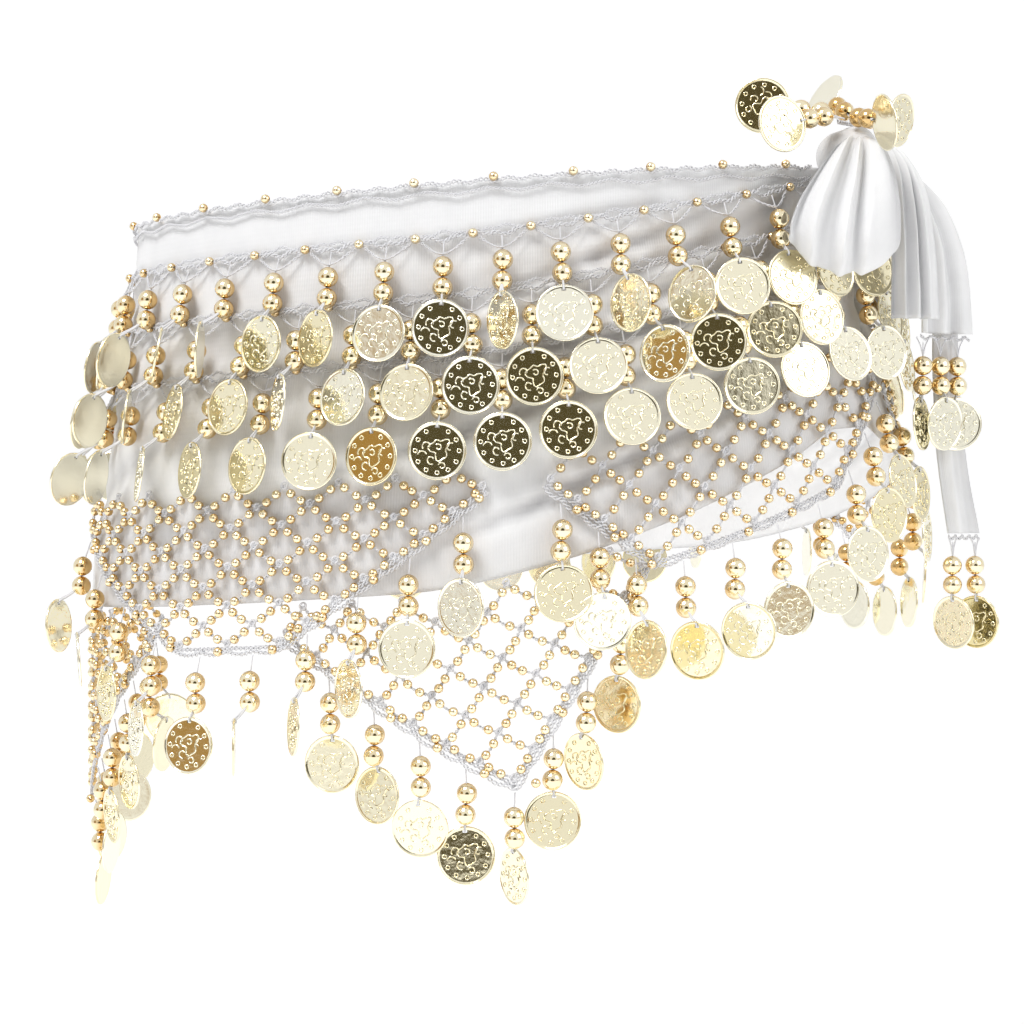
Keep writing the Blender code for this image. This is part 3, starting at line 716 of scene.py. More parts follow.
@dataclass(frozen=True)
class ChiffonFinish(Finish):
    """Pale cool white knit chiffon with fine ribs, with painted shade down in its folds and painted light on
    their ridges.
    """

    light: Colour = (0.90, 0.90, 0.90)
    shade: Colour = (0.58, 0.58, 0.59)
    ribs_per_metre: float = 850.0
    unevenness: float = 0.6
    painted_fold_shade_share: float = 0.75
    rib_strength: float = 0.22
    rib_depth: float = 0.00012
    roughness: float = 0.82

    def build(self, rib: bpy.types.NodeTree) -> bpy.types.Material:
        """Material of the cloth.

        Args:
            rib: Effect group of the knit.

        Returns:
            The material.
        """
        material, tree, shader = self.start()
        knit = place_group(tree, rib, {"Ribs per metre": self.ribs_per_metre, "Unevenness": self.unevenness})
        tone = tree.nodes.new("ShaderNodeAttribute")
        tone.attribute_name = "tone"
        # Painted shade and light: the tone attribute darkens the cloth in its folds and lightens their
        # ridges, mixed with the uneven knit.
        blend = tree.nodes.new("ShaderNodeMix")
        blend.inputs["Factor"].default_value = self.painted_fold_shade_share
        tree.links.new(knit.outputs["Mask"], blend.inputs["A"])
        tree.links.new(tone.outputs["Fac"], blend.inputs["B"])
        colour = mix_colours(tree, blend.outputs["Result"], self.shade, self.light)
        tree.links.new(colour, shader.inputs["Base Color"])
        add_bump(tree, knit.outputs["Height"], self.rib_strength, self.rib_depth)
        shader.inputs["Roughness"].default_value = self.roughness
        shader.inputs["Sheen Weight"].default_value = 0.35
        shader.inputs["Sheen Roughness"].default_value = 0.4
        return material


@dataclass(frozen=True)
class ThreadFinish(Finish):
    """White crochet thread."""

    light: Colour = (0.87, 0.87, 0.88)
    shade: Colour = (0.64, 0.64, 0.67)
    fibres_per_metre: float = 1800.0
    lint_per_metre: float = 4200.0
    fibre_strength: float = 0.5
    fibre_depth: float = 0.0002
    roughness: float = 0.75

    def build(self, dents: bpy.types.NodeTree) -> bpy.types.Material:
        """Material of the thread.

        Args:
            dents: Effect group that makes the fibres.

        Returns:
            The material.
        """
        material, tree, shader = self.start()
        fibre = place_group(tree, dents, {"Size per metre": self.fibres_per_metre,
                                          "Detail per metre": self.lint_per_metre})
        colour = mix_colours(tree, fibre.outputs["Mask"], self.shade, self.light)
        tree.links.new(colour, shader.inputs["Base Color"])
        add_bump(tree, fibre.outputs["Height"], self.fibre_strength, self.fibre_depth)
        shader.inputs["Roughness"].default_value = self.roughness
        shader.inputs["Sheen Weight"].default_value = 0.25
        return material


@dataclass(frozen=True)
class GiltFinish(Finish):
    """Polished pale gold plate, each coin or bead a little different, and beads with painted shade towards
    their rims.
    """

    pale: Colour = (0.97, 0.94, 0.79)
    deep: Colour = (0.92, 0.81, 0.48)
    roughness: float = 0.12
    dent_strength: float = 0.24
    dent_depth: float = 0.0004
    dents_per_metre: float = 260.0
    scratches_per_metre: float = 1100.0

    def build(self, dents: bpy.types.NodeTree) -> bpy.types.Material:
        """Material of the metal.

        Args:
            dents: Effect group of the dents.

        Returns:
            The material.
        """
        material, tree, shader = self.start()
        tone = tree.nodes.new("ShaderNodeAttribute")
        tone.attribute_name = "tone"
        # The tone differs at random from piece to piece; on beads it also carries painted shade towards their
        # rims.
        colour = mix_colours(tree, tone.outputs["Fac"], self.pale, self.deep)
        tree.links.new(colour, shader.inputs["Base Color"])
        relief = place_group(tree, dents, {"Size per metre": self.dents_per_metre,
                                           "Detail per metre": self.scratches_per_metre})
        add_bump(tree, relief.outputs["Height"], self.dent_strength, self.dent_depth)
        rough = tree.nodes.new("ShaderNodeMapRange")
        tree.links.new(relief.outputs["Mask"], rough.inputs["Value"])
        rough.inputs["To Min"].default_value = self.roughness * 0.7
        rough.inputs["To Max"].default_value = self.roughness * 1.4
        tree.links.new(rough.outputs["Result"], shader.inputs["Roughness"])
        shader.inputs["Metallic"].default_value = 1.0
        return material


@dataclass
class Wardrobe:
    """All finishes, built once."""

    chiffon: bpy.types.Material = field(init=False)
    thread: bpy.types.Material = field(init=False)
    coin: bpy.types.Material = field(init=False)
    bead: bpy.types.Material = field(init=False)

    def __post_init__(self) -> None:
        """Build the groups and the materials."""
        rib = EffectGroups.rib()
        dents = EffectGroups.dents()
        self.chiffon = ChiffonFinish("white_chiffon").build(rib)
        self.thread = ThreadFinish("crochet_thread").build(dents)
        self.coin = GiltFinish("gilt_coin").build(dents)
        # The beads' deep colour shows mostly at their rims, where it is painted shade.
        self.bead = GiltFinish("gilt_bead", dent_strength=0.03, roughness=0.09, pale=(0.98, 0.90, 0.66),
                               deep=(0.70, 0.47, 0.20)).build(dents)

    def dangler_set(self) -> list[bpy.types.Material]:
        """Materials of a piece with thread, beads and coins, in slot order."""
        return [self.thread, self.bead, self.coin]


def settle(piece: bpy.types.Object, node: str, slot: Slot) -> bpy.types.Object:
    """Let a piece ride on the belt and stand for a node, and report it.

    Args:
        piece: The dressed piece.
        node: Solid that it stands for.
        slot: Its slot in the record; not used.

    Returns:
        The same piece.
    """
    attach(piece, BODY)
    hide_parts(node)
    LOG.info("%s stands for %s with %d faces", piece.name, node, len(piece.data.polygons))
    return piece


@dataclass(frozen=True)
class Hanging:
    """One dangler: the line it hangs along, how its coin is turned and what the coin mirrors."""

    place: Callable[[float, float], np.ndarray]
    side: np.ndarray
    front: np.ndarray
    turn: float
    bead_out: float
    coin_out: float
    mood: Mood


@dataclass
class DanglerMaker:
    """Two large beads and a coin on a thread, repeated along a trim."""

    bead_radius: float = 0.0043
    bead_one: float = 0.0105
    bead_two: float = 0.0192
    coin_drop: float = 0.0360
    coin_reach: float = 0.0120
    hole_reach: float = 0.0097
    thread_radius: float = 0.00032
    swing_degrees: float = 7.0
    nod_degrees: float = 5.0
    seed: int = 7
    eye: tuple[float, float, float] = EYE
    dark_side: tuple[float, float, float] = DARK_SIDE
    least_seen: float = 0.54
    most_turn: float = 0.22
    clear_turn: float = 0.20
    coin: Template = field(init=False)
    bead: Template = field(init=False)
    chance: np.random.Generator = field(init=False)

    def __post_init__(self) -> None:
        """Make the coin and the bead once."""
        self.coin = Coin().template()
        self.bead = ball(self.bead_radius, 14, 9, hole=0.06)
        self.chance = np.random.default_rng(self.seed)

    def mooded(self, front: np.ndarray, centre: np.ndarray, mood: Mood) -> np.ndarray:
        """Turn a coin's face a little, so that it mirrors the dark or the pale side of the studio.

        Args:
            front: Direction that the coin faces.
            centre: Middle of the coin.
            mood: What it should mirror.

        Returns:
            The new direction.
        """
        towards = unit(np.array(self.eye) - centre)
        if float(np.dot(front, towards)) < self.least_seen:
            return front
        dark = unit(towards + np.array(self.dark_side))
        angle = math.acos(float(np.clip(np.dot(front, dark), -1.0, 1.0)))
        if mood is Mood.DARK:
            aim = min(angle, self.most_turn)
            across = unit(dark - front * float(np.dot(front, dark))) if angle > 1e-3 else np.zeros(3)
            return unit(front * math.cos(aim) + across * math.sin(aim))
        if angle >= self.clear_turn:
            return front
        sideways = 0.55 * self.chance.uniform(-1.0, 1.0)
        lift = np.array([sideways, 0.0, 1.0 if self.chance.random() < 0.6 else -1.0])
        lift = lift * 0.10 + front
        away = unit(lift - dark * float(np.dot(dark, lift)))
        clear = self.clear_turn + 0.04
        return unit(dark * math.cos(clear) + away * math.sin(clear))

    def coin_axes(self, hanging: Hanging, lean: np.ndarray) -> tuple[np.ndarray, np.ndarray, np.ndarray]:
        """Work out how a coin is turned.

        Args:
            hanging: Where and how its dangler hangs.
            lean: How far it swings and nods, each from -1 to 1.

        Returns:
            The coin's side, front and upward directions.
        """
        up = unit(hanging.place(self.coin_drop - self.coin_reach, hanging.coin_out)
                  - hanging.place(self.coin_drop + self.coin_reach, hanging.coin_out))
        side = hanging.side * math.cos(hanging.turn) + hanging.front * math.sin(hanging.turn)
        up = unit(up + side * math.tan(0.5 * math.radians(self.swing_degrees) * lean[0]))
        side = unit(side - up * float(np.dot(side, up)))
        front = np.cross(up, side)
        front = front if float(np.dot(front, hanging.front)) > -0.2 else -front
        nod = math.radians(self.nod_degrees) * lean[1]
        nodded = unit(front * math.cos(nod) + up * math.sin(nod))
        up = unit(up * math.cos(nod) - front * math.sin(nod))
        front = self.mooded(nodded, hanging.place(self.coin_drop, hanging.coin_out), hanging.mood)
        up = unit(up - front * float(np.dot(up, front)))
        return np.cross(front, up), front, up

    def hang(self, sheaf: Sheaf, hanging: Hanging) -> None:
        """Add one dangler.

        Args:
            sheaf: Mesh to add to, with thread, bead and coin in the order of the layers.
            hanging: Where and how it hangs.
        """
        place = hanging.place
        lean = self.chance.uniform(-1.0, 1.0, 6)
        side, front, up = self.coin_axes(hanging, lean)
        centre = place(self.coin_drop, hanging.coin_out)
        tone = float(np.clip(0.30 + 0.35 * lean[2], 0.0, 1.0))
        sheaf.stamp(self.coin, centre[None], np.stack([side, front, up])[None], Layer.COIN, np.array([tone]))
        first = place(self.bead_one, hanging.bead_out) + 0.0004 * lean[3] * hanging.side
        second = place(self.bead_two, hanging.bead_out) + 0.0005 * lean[4] * hanging.side
        level = np.stack([hanging.side, hanging.front, np.cross(hanging.side, hanging.front)])
        sheaf.stamp(self.bead, np.stack([first, second]), np.stack([level, level]), Layer.BEAD,
                    np.array([0.16 + 0.12 * lean[5], 0.20 + 0.12 * lean[0]]))
        hole = centre + up * self.hole_reach
        middle = 0.5 * (second + hole)
        root = place(0.0, 0.5 * hanging.bead_out)
        behind_top = hole + up * 0.0012 - front * 0.0007
        through_top = hole + up * 0.0010 + front * 0.0010
        strand = [root, 0.5 * (root + first), first, second, middle, hole + front * 0.0007]
        behind = [second, middle - front * 0.0003, behind_top, hole - front * 0.0007]
        through = [second, middle + front * 0.0006, through_top, hole + front * 0.0006]
        facing = hanging.front[None]
        sheaf.tubes(np.array([strand]), facing, self.thread_radius, 4, Layer.THREAD)
        sheaf.tubes(np.array([behind, through]), np.repeat(facing, 2, axis=0), 1.5 * self.thread_radius, 4,
                    Layer.THREAD)


@dataclass
class Wrap:
    """Chiffon round the hips, with folds that run out of the knot, painted darker in their troughs and
    lighter on their ridges.
    """

    form: HipForm
    columns: int = 370
    rows: int = 74
    thickness: float = 0.0006
    fine_each_side: int = 17
    fine_round: int = 26
    smooth_from: float = 0.120
    painted_fold_shade_depth: float = 0.0026
    puckers: float = 148.0
    pucker_depth: float = 0.00025
    ripples: float = 21.0
    ripple_depth: float = 0.0007
    sunk: float = 0.0007
    flat: tuple[float, float] = (0.95, 0.168)
    seed: int = 11

    def creases(self) -> np.ndarray:
        """Lay out the large folds as listed and the fine ones between them by chance.

        Returns:
            Rows of share and drop at the start, share and drop at the end, half width and depth.
        """
        large = [
            (0.150, 0.020, -0.020, 0.100, 0.012, 0.0030), (0.150, 0.035, 0.010, 0.140, 0.013, 0.0034),
            (0.145, 0.055, 0.040, 0.160, 0.012, 0.0026), (0.110, 0.030, -0.090, 0.060, 0.012, 0.0020),
            (-0.120, 0.060, -0.240, 0.095, 0.014, 0.0020), (-0.180, 0.110, -0.330, 0.140, 0.014, 0.0022),
            (-0.260, 0.040, -0.420, 0.070, 0.013, 0.0020), (0.205, 0.020, 0.380, 0.100, 0.013, 0.0030),
            (0.205, 0.045, 0.330, 0.150, 0.013, 0.0030), (0.250, 0.035, 0.460, 0.060, 0.012, 0.0022),
            (0.420, 0.110, 0.560, 0.140, 0.014, 0.0020),
        ]
        chance = np.random.default_rng(self.seed)
        fine = []
        for side, low in ((-1.0, 0.150), (1.0, 0.206)):
            for index in range(self.fine_each_side):
                start_drop = 0.006 + 0.0052 * index + 0.002 * chance.uniform(-1, 1)
                reach = side * (0.09 + 0.17 * chance.random())
                end_drop = start_drop + 0.02 + 0.30 * abs(reach) * chance.random()
                fine.append((low, start_drop, low + reach, end_drop,
                             0.0022 + 0.0020 * chance.random(), 0.0018 + 0.0018 * chance.random()))
        for _ in range(self.fine_round):
            start = chance.uniform(-0.82, 0.10)
            start_drop = chance.uniform(0.01, 0.12)
            fine.append((start, start_drop, start - 0.04 - 0.07 * chance.random(),
                         start_drop + 0.03 * chance.uniform(0.0, 1.0), 0.0045 + 0.0035 * chance.random(),
                         0.0011 + 0.0012 * chance.random()))
        return np.array(large + fine)

    def dip(self, share: np.ndarray, drop: np.ndarray) -> np.ndarray:
        """How far the folds dip inwards at each place.

        Args:
            share: Share of the way round.
            drop: Distance below the top edge.

        Returns:
            The depth of the folds there.
        """
        total = np.zeros_like(drop)
        for start, start_drop, end, end_drop, half_width, depth in self.creases():
            run = (end - start) * self.form.round_length
            fall = end_drop - start_drop
            offset = ((share - start + 0.5) % 1.0 - 0.5) * self.form.round_length
            along = (offset * run + (drop - start_drop) * fall) / (run * run + fall * fall)
            along = np.clip(along, 0.0, 1.0)
            away = np.hypot(offset - along * run, drop - start_drop - along * fall)
            trough = np.exp(-((away / half_width) ** 2)) - 0.30 * np.exp(-((away / half_width - 2.0) ** 2))
            total += depth * trough * (1.0 - 0.5 * along)
        return total * (1.0 - ease((drop - self.smooth_from) / 0.040))

    def build(self, wardrobe: Wardrobe) -> bpy.types.Object:
        """Thin shell of cloth on the wrap's form.

        Args:
            wardrobe: The finishes.

        Returns:
            The dressed piece.
        """
        turns = np.arange(self.columns) / self.columns
        levels = np.linspace(0.0, 1.0, self.rows + 1)
        turn, level = np.meshgrid(turns, levels, indexing="ij")
        share = self.form.knot_share + turn
        flat_drop = level * self.form.wrap_drop
        drop = level * self.form.gathered_drop(self.form.wrap_drop, share)
        dip = self.dip(share, drop)
        pucker = self.pucker_depth * np.sin(math.tau * self.puckers * turn)
        pucker = pucker * np.exp(-((drop - 0.002) / 0.006) ** 2)
        wave = np.sin(math.tau * (self.ripples * turn + 0.2 * level))
        ripple = self.ripple_depth * wave * ease((level - 0.75) / 0.25)
        out = pucker - np.maximum(dip, -0.0004) - self.sunk + ripple
        # Painted shade and light: cloth that dips deeper than its neighbours in a fold gets a darker tone,
        # and cloth on a ridge a lighter one.
        around = sum(np.roll(dip, step, axis=0) for step in (-4, -2, 2, 4)) / 4.0
        beside = sum(np.roll(dip, step, axis=1) for step in (-3, -2, 2, 3)) / 4.0
        tone = np.clip(0.62 + (0.5 * (around + beside) - dip) / self.painted_fold_shade_depth, 0.0, 1.0).reshape(-1)
        outer = self.form.point(share, drop, out).reshape(-1, 3)
        inner = self.form.point(share, drop, out - self.thickness).reshape(-1, 3)
        width = self.rows + 1
        column = np.arange(self.columns)
        here = (column * width)[:, None] + np.arange(self.rows)[None, :]
        there = (((column + 1) % self.columns) * width)[:, None] + np.arange(self.rows)[None, :]
        front = np.stack([here, here + 1, there + 1, there], axis=-1).reshape(-1, 4)
        shift = len(outer)
        back = front[:, ::-1] + shift
        rims = []
        for row in (0, self.rows):
            low = column * width + row
            high = ((column + 1) % self.columns) * width + row
            rim = np.stack([low, high, high + shift, low + shift], axis=-1)
            rims.append(rim if row == 0 else rim[:, ::-1])
        uv = np.stack([turn * self.form.round_length, flat_drop], axis=-1).reshape(-1, 2)
        sheaf = Sheaf()
        sheaf.add(np.vstack([outer, inner]), [front, back, *rims], 0, np.tile(tone, 2), np.vstack([uv, uv]))
        piece = settle(sheaf.to_piece("wrap_cloth", [wardrobe.chiffon]), "chiffon_wrap", Slot.CHIFFON)
        return piece


@dataclass(frozen=True)
class Crochet:
    """Twists of thread and small beads that the trims, nets and braids share."""

    chain: Twist = Twist(0.00046, 0.00072, 0.0046)
    second_chain: Twist = Twist(0.00034, 0.00060, 0.0033)
    zigzag: Twist = Twist(0.00038, 0.00060, 0.0034)
    swag: Twist = Twist(0.00036, 0.00055, 0.0034)
    mesh: Twist = Twist(0.00042, 0.00050, 0.0031)
    hem: Twist = Twist(0.00034, 0.00050, 0.0032)
    knot_bar: Twist = Twist(0.00050, 0.00070, 0.0034)
    small_bead: float = 0.0020

    def bead(self) -> Template:
        """Small bead of the trims and nets, with painted shade towards its rim."""
        return ball(self.small_bead, 10, 7, hole=0.08)

    def small_beads(self, sheaf: Sheaf, places: np.ndarray, facing: np.ndarray, along: np.ndarray,
                    chance: np.random.Generator) -> None:
        """Stamp small beads with their holes along the thread.

        Args:
            sheaf: Mesh to add to.
            places: Middle of each bead.
            facing: Direction off the cloth at each bead.
            along: Direction of the thread at each bead.
            chance: Source of their shades.
        """
        third = unit(along)
        sideways = unit(np.cross(facing, third))
        axes = np.stack([sideways, np.cross(third, sideways), third], axis=1)
        sheaf.stamp(self.bead(), places, axes, Layer.BEAD, chance.uniform(0.0, 0.45, len(places)))


@dataclass
class TopEdge:
    """Crochet zigzag along the top edge, with a small bead at each picot."""

    form: HipForm
    crochet: Crochet
    bead_step: float = 0.033
    start_share: float = 0.010
    share_round: float = 0.980
    edge_length: float = 0.885
    seed: int = 3

    def build(self, wardrobe: Wardrobe) -> bpy.types.Object:
        """Chain, zigzag and beads of the top edge.

        Args:
            wardrobe: The finishes.

        Returns:
            The dressed piece.
        """
        sheaf = Sheaf()
        start = self.form.knot_share + self.start_share
        share = np.linspace(start, start + self.share_round, 900)
        lengthwise = (share - start) * self.edge_length
        facing = self.form.normal(share)
        wave = 0.0006 * np.sin(lengthwise * math.tau / 0.011)
        sheaf.cords(self.form.point(share, 0.0004 + wave, 0.0012)[None], facing[None], self.crochet.chain)
        zigzag = 0.0034 + 0.0022 * np.abs(((lengthwise / 0.013) % 2.0) - 1.0)
        sheaf.cords(self.form.point(share, zigzag, 0.0011)[None], facing[None], self.crochet.zigzag)
        count = int(self.edge_length * self.share_round / self.bead_step)
        spots = start + self.share_round * (np.arange(count) + 0.5) / count
        places = self.form.point(spots, -0.0008, 0.0018)
        chance = np.random.default_rng(self.seed)
        self.crochet.small_beads(sheaf, places, self.form.normal(spots), self.form.tangent(spots), chance)
        piece = sheaf.to_piece("top_edge_crochet", [wardrobe.thread, wardrobe.bead])
        return settle(piece, "top_edge_trim", Slot.CROCHET)


def calm_turn(form: HipForm, share: float, turn: float) -> float:
    """Let a coin under the bow loop or the tails hang flat, and any other keep its turn."""
    past = (share - form.knot_share + 0.5) % 1.0 - 0.5
    return min(turn, math.radians(8.0)) if -0.05 < past < 0.10 else turn


@dataclass
class CoinRow:
    """One crochet trim round the hips with its danglers."""

    form: HipForm
    crochet: Crochet
    name: str
    drop: float
    count: int
    start: float
    turns: tuple[int, ...]
    dark: tuple[int, ...]
    trim_height: float = TRIM_HEIGHT
    bead_out: float = 0.0052
    gathered_out: float = 0.0040
    hidden_from: int = 14
    swag_half_share: float = 0.0118
    swag_dip: float = 0.0064
    seed: int = 5

    def shares(self) -> np.ndarray:
        """Share of each dangler."""
        return self.form.knot_share - (self.start + np.arange(self.count)) / ROW_STEPS

    def hanging(self, index: int) -> Hanging:
        """Place, turn and mood of one dangler; in front the dark ones are those of the photograph.

        Args:
            index: Number of the dangler from the knot.

        Returns:
            How it hangs.
        """
        share = float(self.shares()[index])
        turns = self.turns if index < len(self.turns) else BACK_TURNS
        turn = calm_turn(self.form, share, math.radians(turns[index % len(turns)]))
        low = float(self.form.gathered_drop(self.drop, share)) + 0.5 * self.trim_height
        bead_out = self.bead_out + self.gathered_out * float(self.form.gather(share))
        coin_out = bead_out + COIN_AHEAD + COIN_HALF_WIDTH * math.sin(turn)

        def place(below: float, out: float) -> np.ndarray:
            """Point down the dangler."""
            return self.form.point(share, low + below, out)

        is_dark = index in self.dark or index > self.hidden_from and index % 3 == 0
        mood = Mood.DARK if is_dark else Mood.PALE
        side, front = self.form.tangent(share), self.form.normal(share)
        return Hanging(place, side, front, turn, bead_out, coin_out, mood)

    def build(self, wardrobe: Wardrobe, maker: DanglerMaker) -> bpy.types.Object:
        """Trim, scallops, small beads and danglers.

        Args:
            wardrobe: The finishes.
            maker: What makes the danglers.

        Returns:
            The dressed piece.
        """
        sheaf = Sheaf()
        shares = self.shares()
        share = np.linspace(shares[-1] - 0.006, shares[0] + 0.006, 1000)
        steps = (share - shares[-1]) * ROW_STEPS
        facing = self.form.normal(share)
        middle = self.form.gathered_drop(self.drop, share)
        wave = 0.0010 * np.cos(steps * math.tau) + 0.0007 * np.sin(steps * math.tau * 2.7)
        sheaf.cords(self.form.point(share, middle + wave, 0.0016)[None], facing[None], self.crochet.chain)
        second = self.form.point(share, middle - 0.0014 - 0.8 * wave, 0.0014)
        sheaf.cords(second[None], facing[None], self.crochet.second_chain)
        part = np.linspace(-1.0, 1.0, 15)
        swags = []
        swag_facing = []
        for index, spot in enumerate(shares):
            hanging = self.hanging(index)
            across = spot + part * self.swag_half_share
            dip = self.swag_dip * (0.35 * (1.0 - np.abs(part)) + 0.65 * (1.0 - part**2) ** 1.4)
            out = 0.0015 + (hanging.bead_out - 0.0020) * (1.0 - np.abs(part))
            low = self.form.gathered_drop(self.drop, across) + 0.0008 + dip
            swags.append(self.form.point(across, low, out))
            swag_facing.append(self.form.normal(across))
            maker.hang(sheaf, hanging)
        sheaf.cords(np.array(swags), np.array(swag_facing), self.crochet.swag)
        between = shares[:-1] - 0.5 / ROW_STEPS
        places = self.form.point(between, self.form.gathered_drop(self.drop, between) - 0.0004, 0.0026)
        chance = np.random.default_rng(self.seed)
        self.crochet.small_beads(sheaf, places, self.form.normal(between), self.form.tangent(between), chance)
        return settle(sheaf.to_piece(f"{self.name}_dressed", wardrobe.dangler_set()), self.name, Slot.GILT)


@dataclass
class NetTriangle:
    """Beaded crochet triangle and the braid with danglers along its lower edge."""

    form: HipForm
    crochet: Crochet
    name: str
    tier: Tier
    centre: float
    top: float
    cells: int
    rows: int
    half_across: float
    half_down: float
    lean: float
    danglers: int
    dark: tuple[int, ...]
    strand_width: float = 0.0026
    seam_gap: float = 0.0003
    trim_height: float = TRIM_HEIGHT
    least_sag: float = 0.0009
    loop_size: float = 0.0011
    loop_thread: float = 0.00052
    upper_bead_out: float = 0.0056
    lower_bead_out: float = -0.0040
    lower_coin_out: float = -0.0030
    scallop_depth: float = 0.0013
    seed: int = 9

    def level(self) -> float:
        """How far out of the smooth wrap the threads lie."""
        return 0.0019 if self.tier is Tier.UPPER else -0.0006

    def spot(self, column: float, line: float) -> tuple[float, float]:
        """Across and down of a crossing."""
        down = line * self.half_down
        return column * self.half_across + self.lean * down, down

    def point(self, across: np.ndarray, down: np.ndarray, out: np.ndarray) -> np.ndarray:
        """Point of the belt for a place of the net.

        Args:
            across: Distance across the net from its middle.
            down: Distance below its top.
            out: Distance out of the smooth wrap.

        Returns:
            The points, with the places' own shape and three values each.
        """
        seam = 0.0 if self.tier is Tier.UPPER else self.seam_gap + 0.5 * self.strand_width + 0.0008
        share = self.centre + np.asarray(across, float) / self.form.round_length
        return self.form.point(share, self.form.gathered_drop(self.top, share) + seam + down, out)

    def facing(self, across: np.ndarray) -> np.ndarray:
        """Outward direction at a place across the net."""
        return self.form.normal(self.centre + np.asarray(across, float) / self.form.round_length)

    def strands(self) -> list[tuple[tuple[int, int], tuple[int, int]]]:
        """Pairs of crossings that a thread joins.

        Returns:
            Pairs of crossings, each by its column and line.
        """
        pairs = set()
        for row in range(self.rows):
            line = row + 1
            for index in range(self.cells - row):
                column = -(self.cells - 1 - row) + 2 * index
                pairs.add(((column, line - 1), (column + 1, line)))
                pairs.add(((column, line - 1), (column - 1, line)))
                pairs.add(((column + 1, line), (column, line + 1)))
                pairs.add(((column - 1, line), (column, line + 1)))
        return sorted(pairs)

    def build_net(self, wardrobe: Wardrobe) -> bpy.types.Object:
        """Threads that sag a little from crossing to crossing, with two beads on each side of a cell.

        Args:
            wardrobe: The finishes.

        Returns:
            The dressed piece.
        """
        chance = np.random.default_rng(len(self.name) + self.cells)
        sheaf = Sheaf()
        part = np.linspace(0.0, 1.0, 13)
        paths, facings, beads, bead_facing, bead_along = [], [], [], [], []
        for upper, lower in self.strands():
            start_across, start_down = self.spot(*upper)
            end_across, end_down = self.spot(*lower)
            sag = self.least_sag + 0.0007 * chance.random()
            bow = np.sin(math.pi * part)
            inward = -1.0 if lower[0] > upper[0] else 1.0
            across = start_across + (end_across - start_across) * part + inward * 0.35 * sag * bow
            down = start_down + (end_down - start_down) * part + sag * bow
            path = self.point(across, down, self.level())
            paths.append(path)
            facings.append(self.facing(across))
            for mark in (0.30 + 0.05 * chance.uniform(-1, 1), 0.68 + 0.05 * chance.uniform(-1, 1)):
                step = mark * 12.0
                low = int(step)
                spot = path[low] + (path[low + 1] - path[low]) * (step - low)
                face = facings[-1][low]
                beads.append(spot + face * 0.0003)
                bead_facing.append(face)
                bead_along.append(path[low + 1] - path[low])
        sheaf.cords(np.array(paths), np.array(facings), self.crochet.mesh)
        turn = np.linspace(0.0, math.tau, 11)[:-1]
        loops, loop_facing = [], []
        for cell in sorted({cell for pair in self.strands() for cell in pair}):
            across, down = self.spot(*cell)
            size = self.loop_size + 0.0003 * chance.random()
            loops.append(self.point(across + size * np.cos(turn), down + 1.1 * size * np.sin(turn),
                                    self.level() + 0.0004 * np.sin(2.0 * turn)))
            loop_facing.append(self.facing(across + 0.0 * turn))
        sheaf.tubes(np.array(loops), np.array(loop_facing), self.loop_thread, 5, Layer.THREAD, closed=True)
        self.crochet.small_beads(sheaf, np.array(beads), np.array(bead_facing), np.array(bead_along), chance)
        piece = sheaf.to_piece(f"{self.name}_dressed", [wardrobe.thread, wardrobe.bead])
        return settle(piece, self.name, Slot.CROCHET)

    def edge_path(self) -> list[tuple[float, float]]:
        """Corners of the lower edge, moved to its lower side.

        Returns:
            Across and down of each corner.
        """
        blunt = self.cells - self.rows
        corners = [self.spot(-self.cells, 1), self.spot(-blunt, self.rows + 1)]
        if blunt:
            corners.append(self.spot(blunt, self.rows + 1))
        corners.append(self.spot(self.cells, 1))
        away = 0.5 * self.strand_width + self.seam_gap + 0.5 * self.trim_height
        moved = []
        for index, corner in enumerate(corners):
            normals = []
            for low, high in ((index - 1, index), (index, index + 1)):
                if 0 <= low and high < len(corners):
                    run = corners[high][0] - corners[low][0]
                    fall = corners[high][1] - corners[low][1]
                    size = math.hypot(run, fall)
                    normals.append((-fall / size, run / size))
            across = sum(normal[0] for normal in normals) / len(normals)
            down = sum(normal[1] for normal in normals) / len(normals)
            scale = away / (across * across + down * down)
            moved.append((corner[0] + across * scale, corner[1] + down * scale))
        return moved

    @staticmethod
    def lengths(path: list[tuple[float, float]]) -> list[float]:
        """Length of each stretch of the edge between two corners."""
        return [math.hypot(high[0] - low[0], high[1] - low[1]) for low, high in zip(path, path[1:])]

    def marks(self, path: list[tuple[float, float]]) -> list[tuple[int, float]]:
        """Order and distance of each dangler along the edge.

        Args:
            path: Corners of the edge.

        Returns:
            The number of each dangler among the edge's marks, and its distance.
        """
        lengths = self.lengths(path)
        total = sum(lengths)
        gap = total / self.danglers
        spread = [gap * (index + 0.5) for index in range(self.danglers)]
        bends = [sum(lengths[:index]) for index in range(1, len(lengths))]
        if len(bends) == 1:
            middle = self.danglers // 2
            spread = [bends[0] + gap * (index - middle) for index in range(self.danglers)]
            spread = [value for value in spread if 0.004 < value < total - 0.004]
        every = [("end", 0.0)] + [("dangler", value) for value in spread]
        if len(bends) == 2:
            every += [("bend", value) for value in bends]
        every.append(("end", total))
        every.sort(key=lambda mark: mark[1])
        return [(order, value) for order, (kind, value) in enumerate(every) if kind == "dangler"]

    @staticmethod
    def along_path(path: list[tuple[float, float]], distance: float) -> tuple[float, float, float, float]:
        """Place and direction at a distance along the edge.

        Args:
            path: Corners of the edge.
            distance: Distance from its first corner.

        Returns:
            Across and down of the place, and across and down of the direction.
        """
        left = distance
        for low, high in zip(path, path[1:]):
            across, down = high[0] - low[0], high[1] - low[1]
            size = math.hypot(across, down)
            if left <= size or high is path[-1]:
                share = left / size
                return low[0] + share * across, low[1] + share * down, across / size, down / size
            left -= size
        return path[-1][0], path[-1][1], 1.0, 0.0

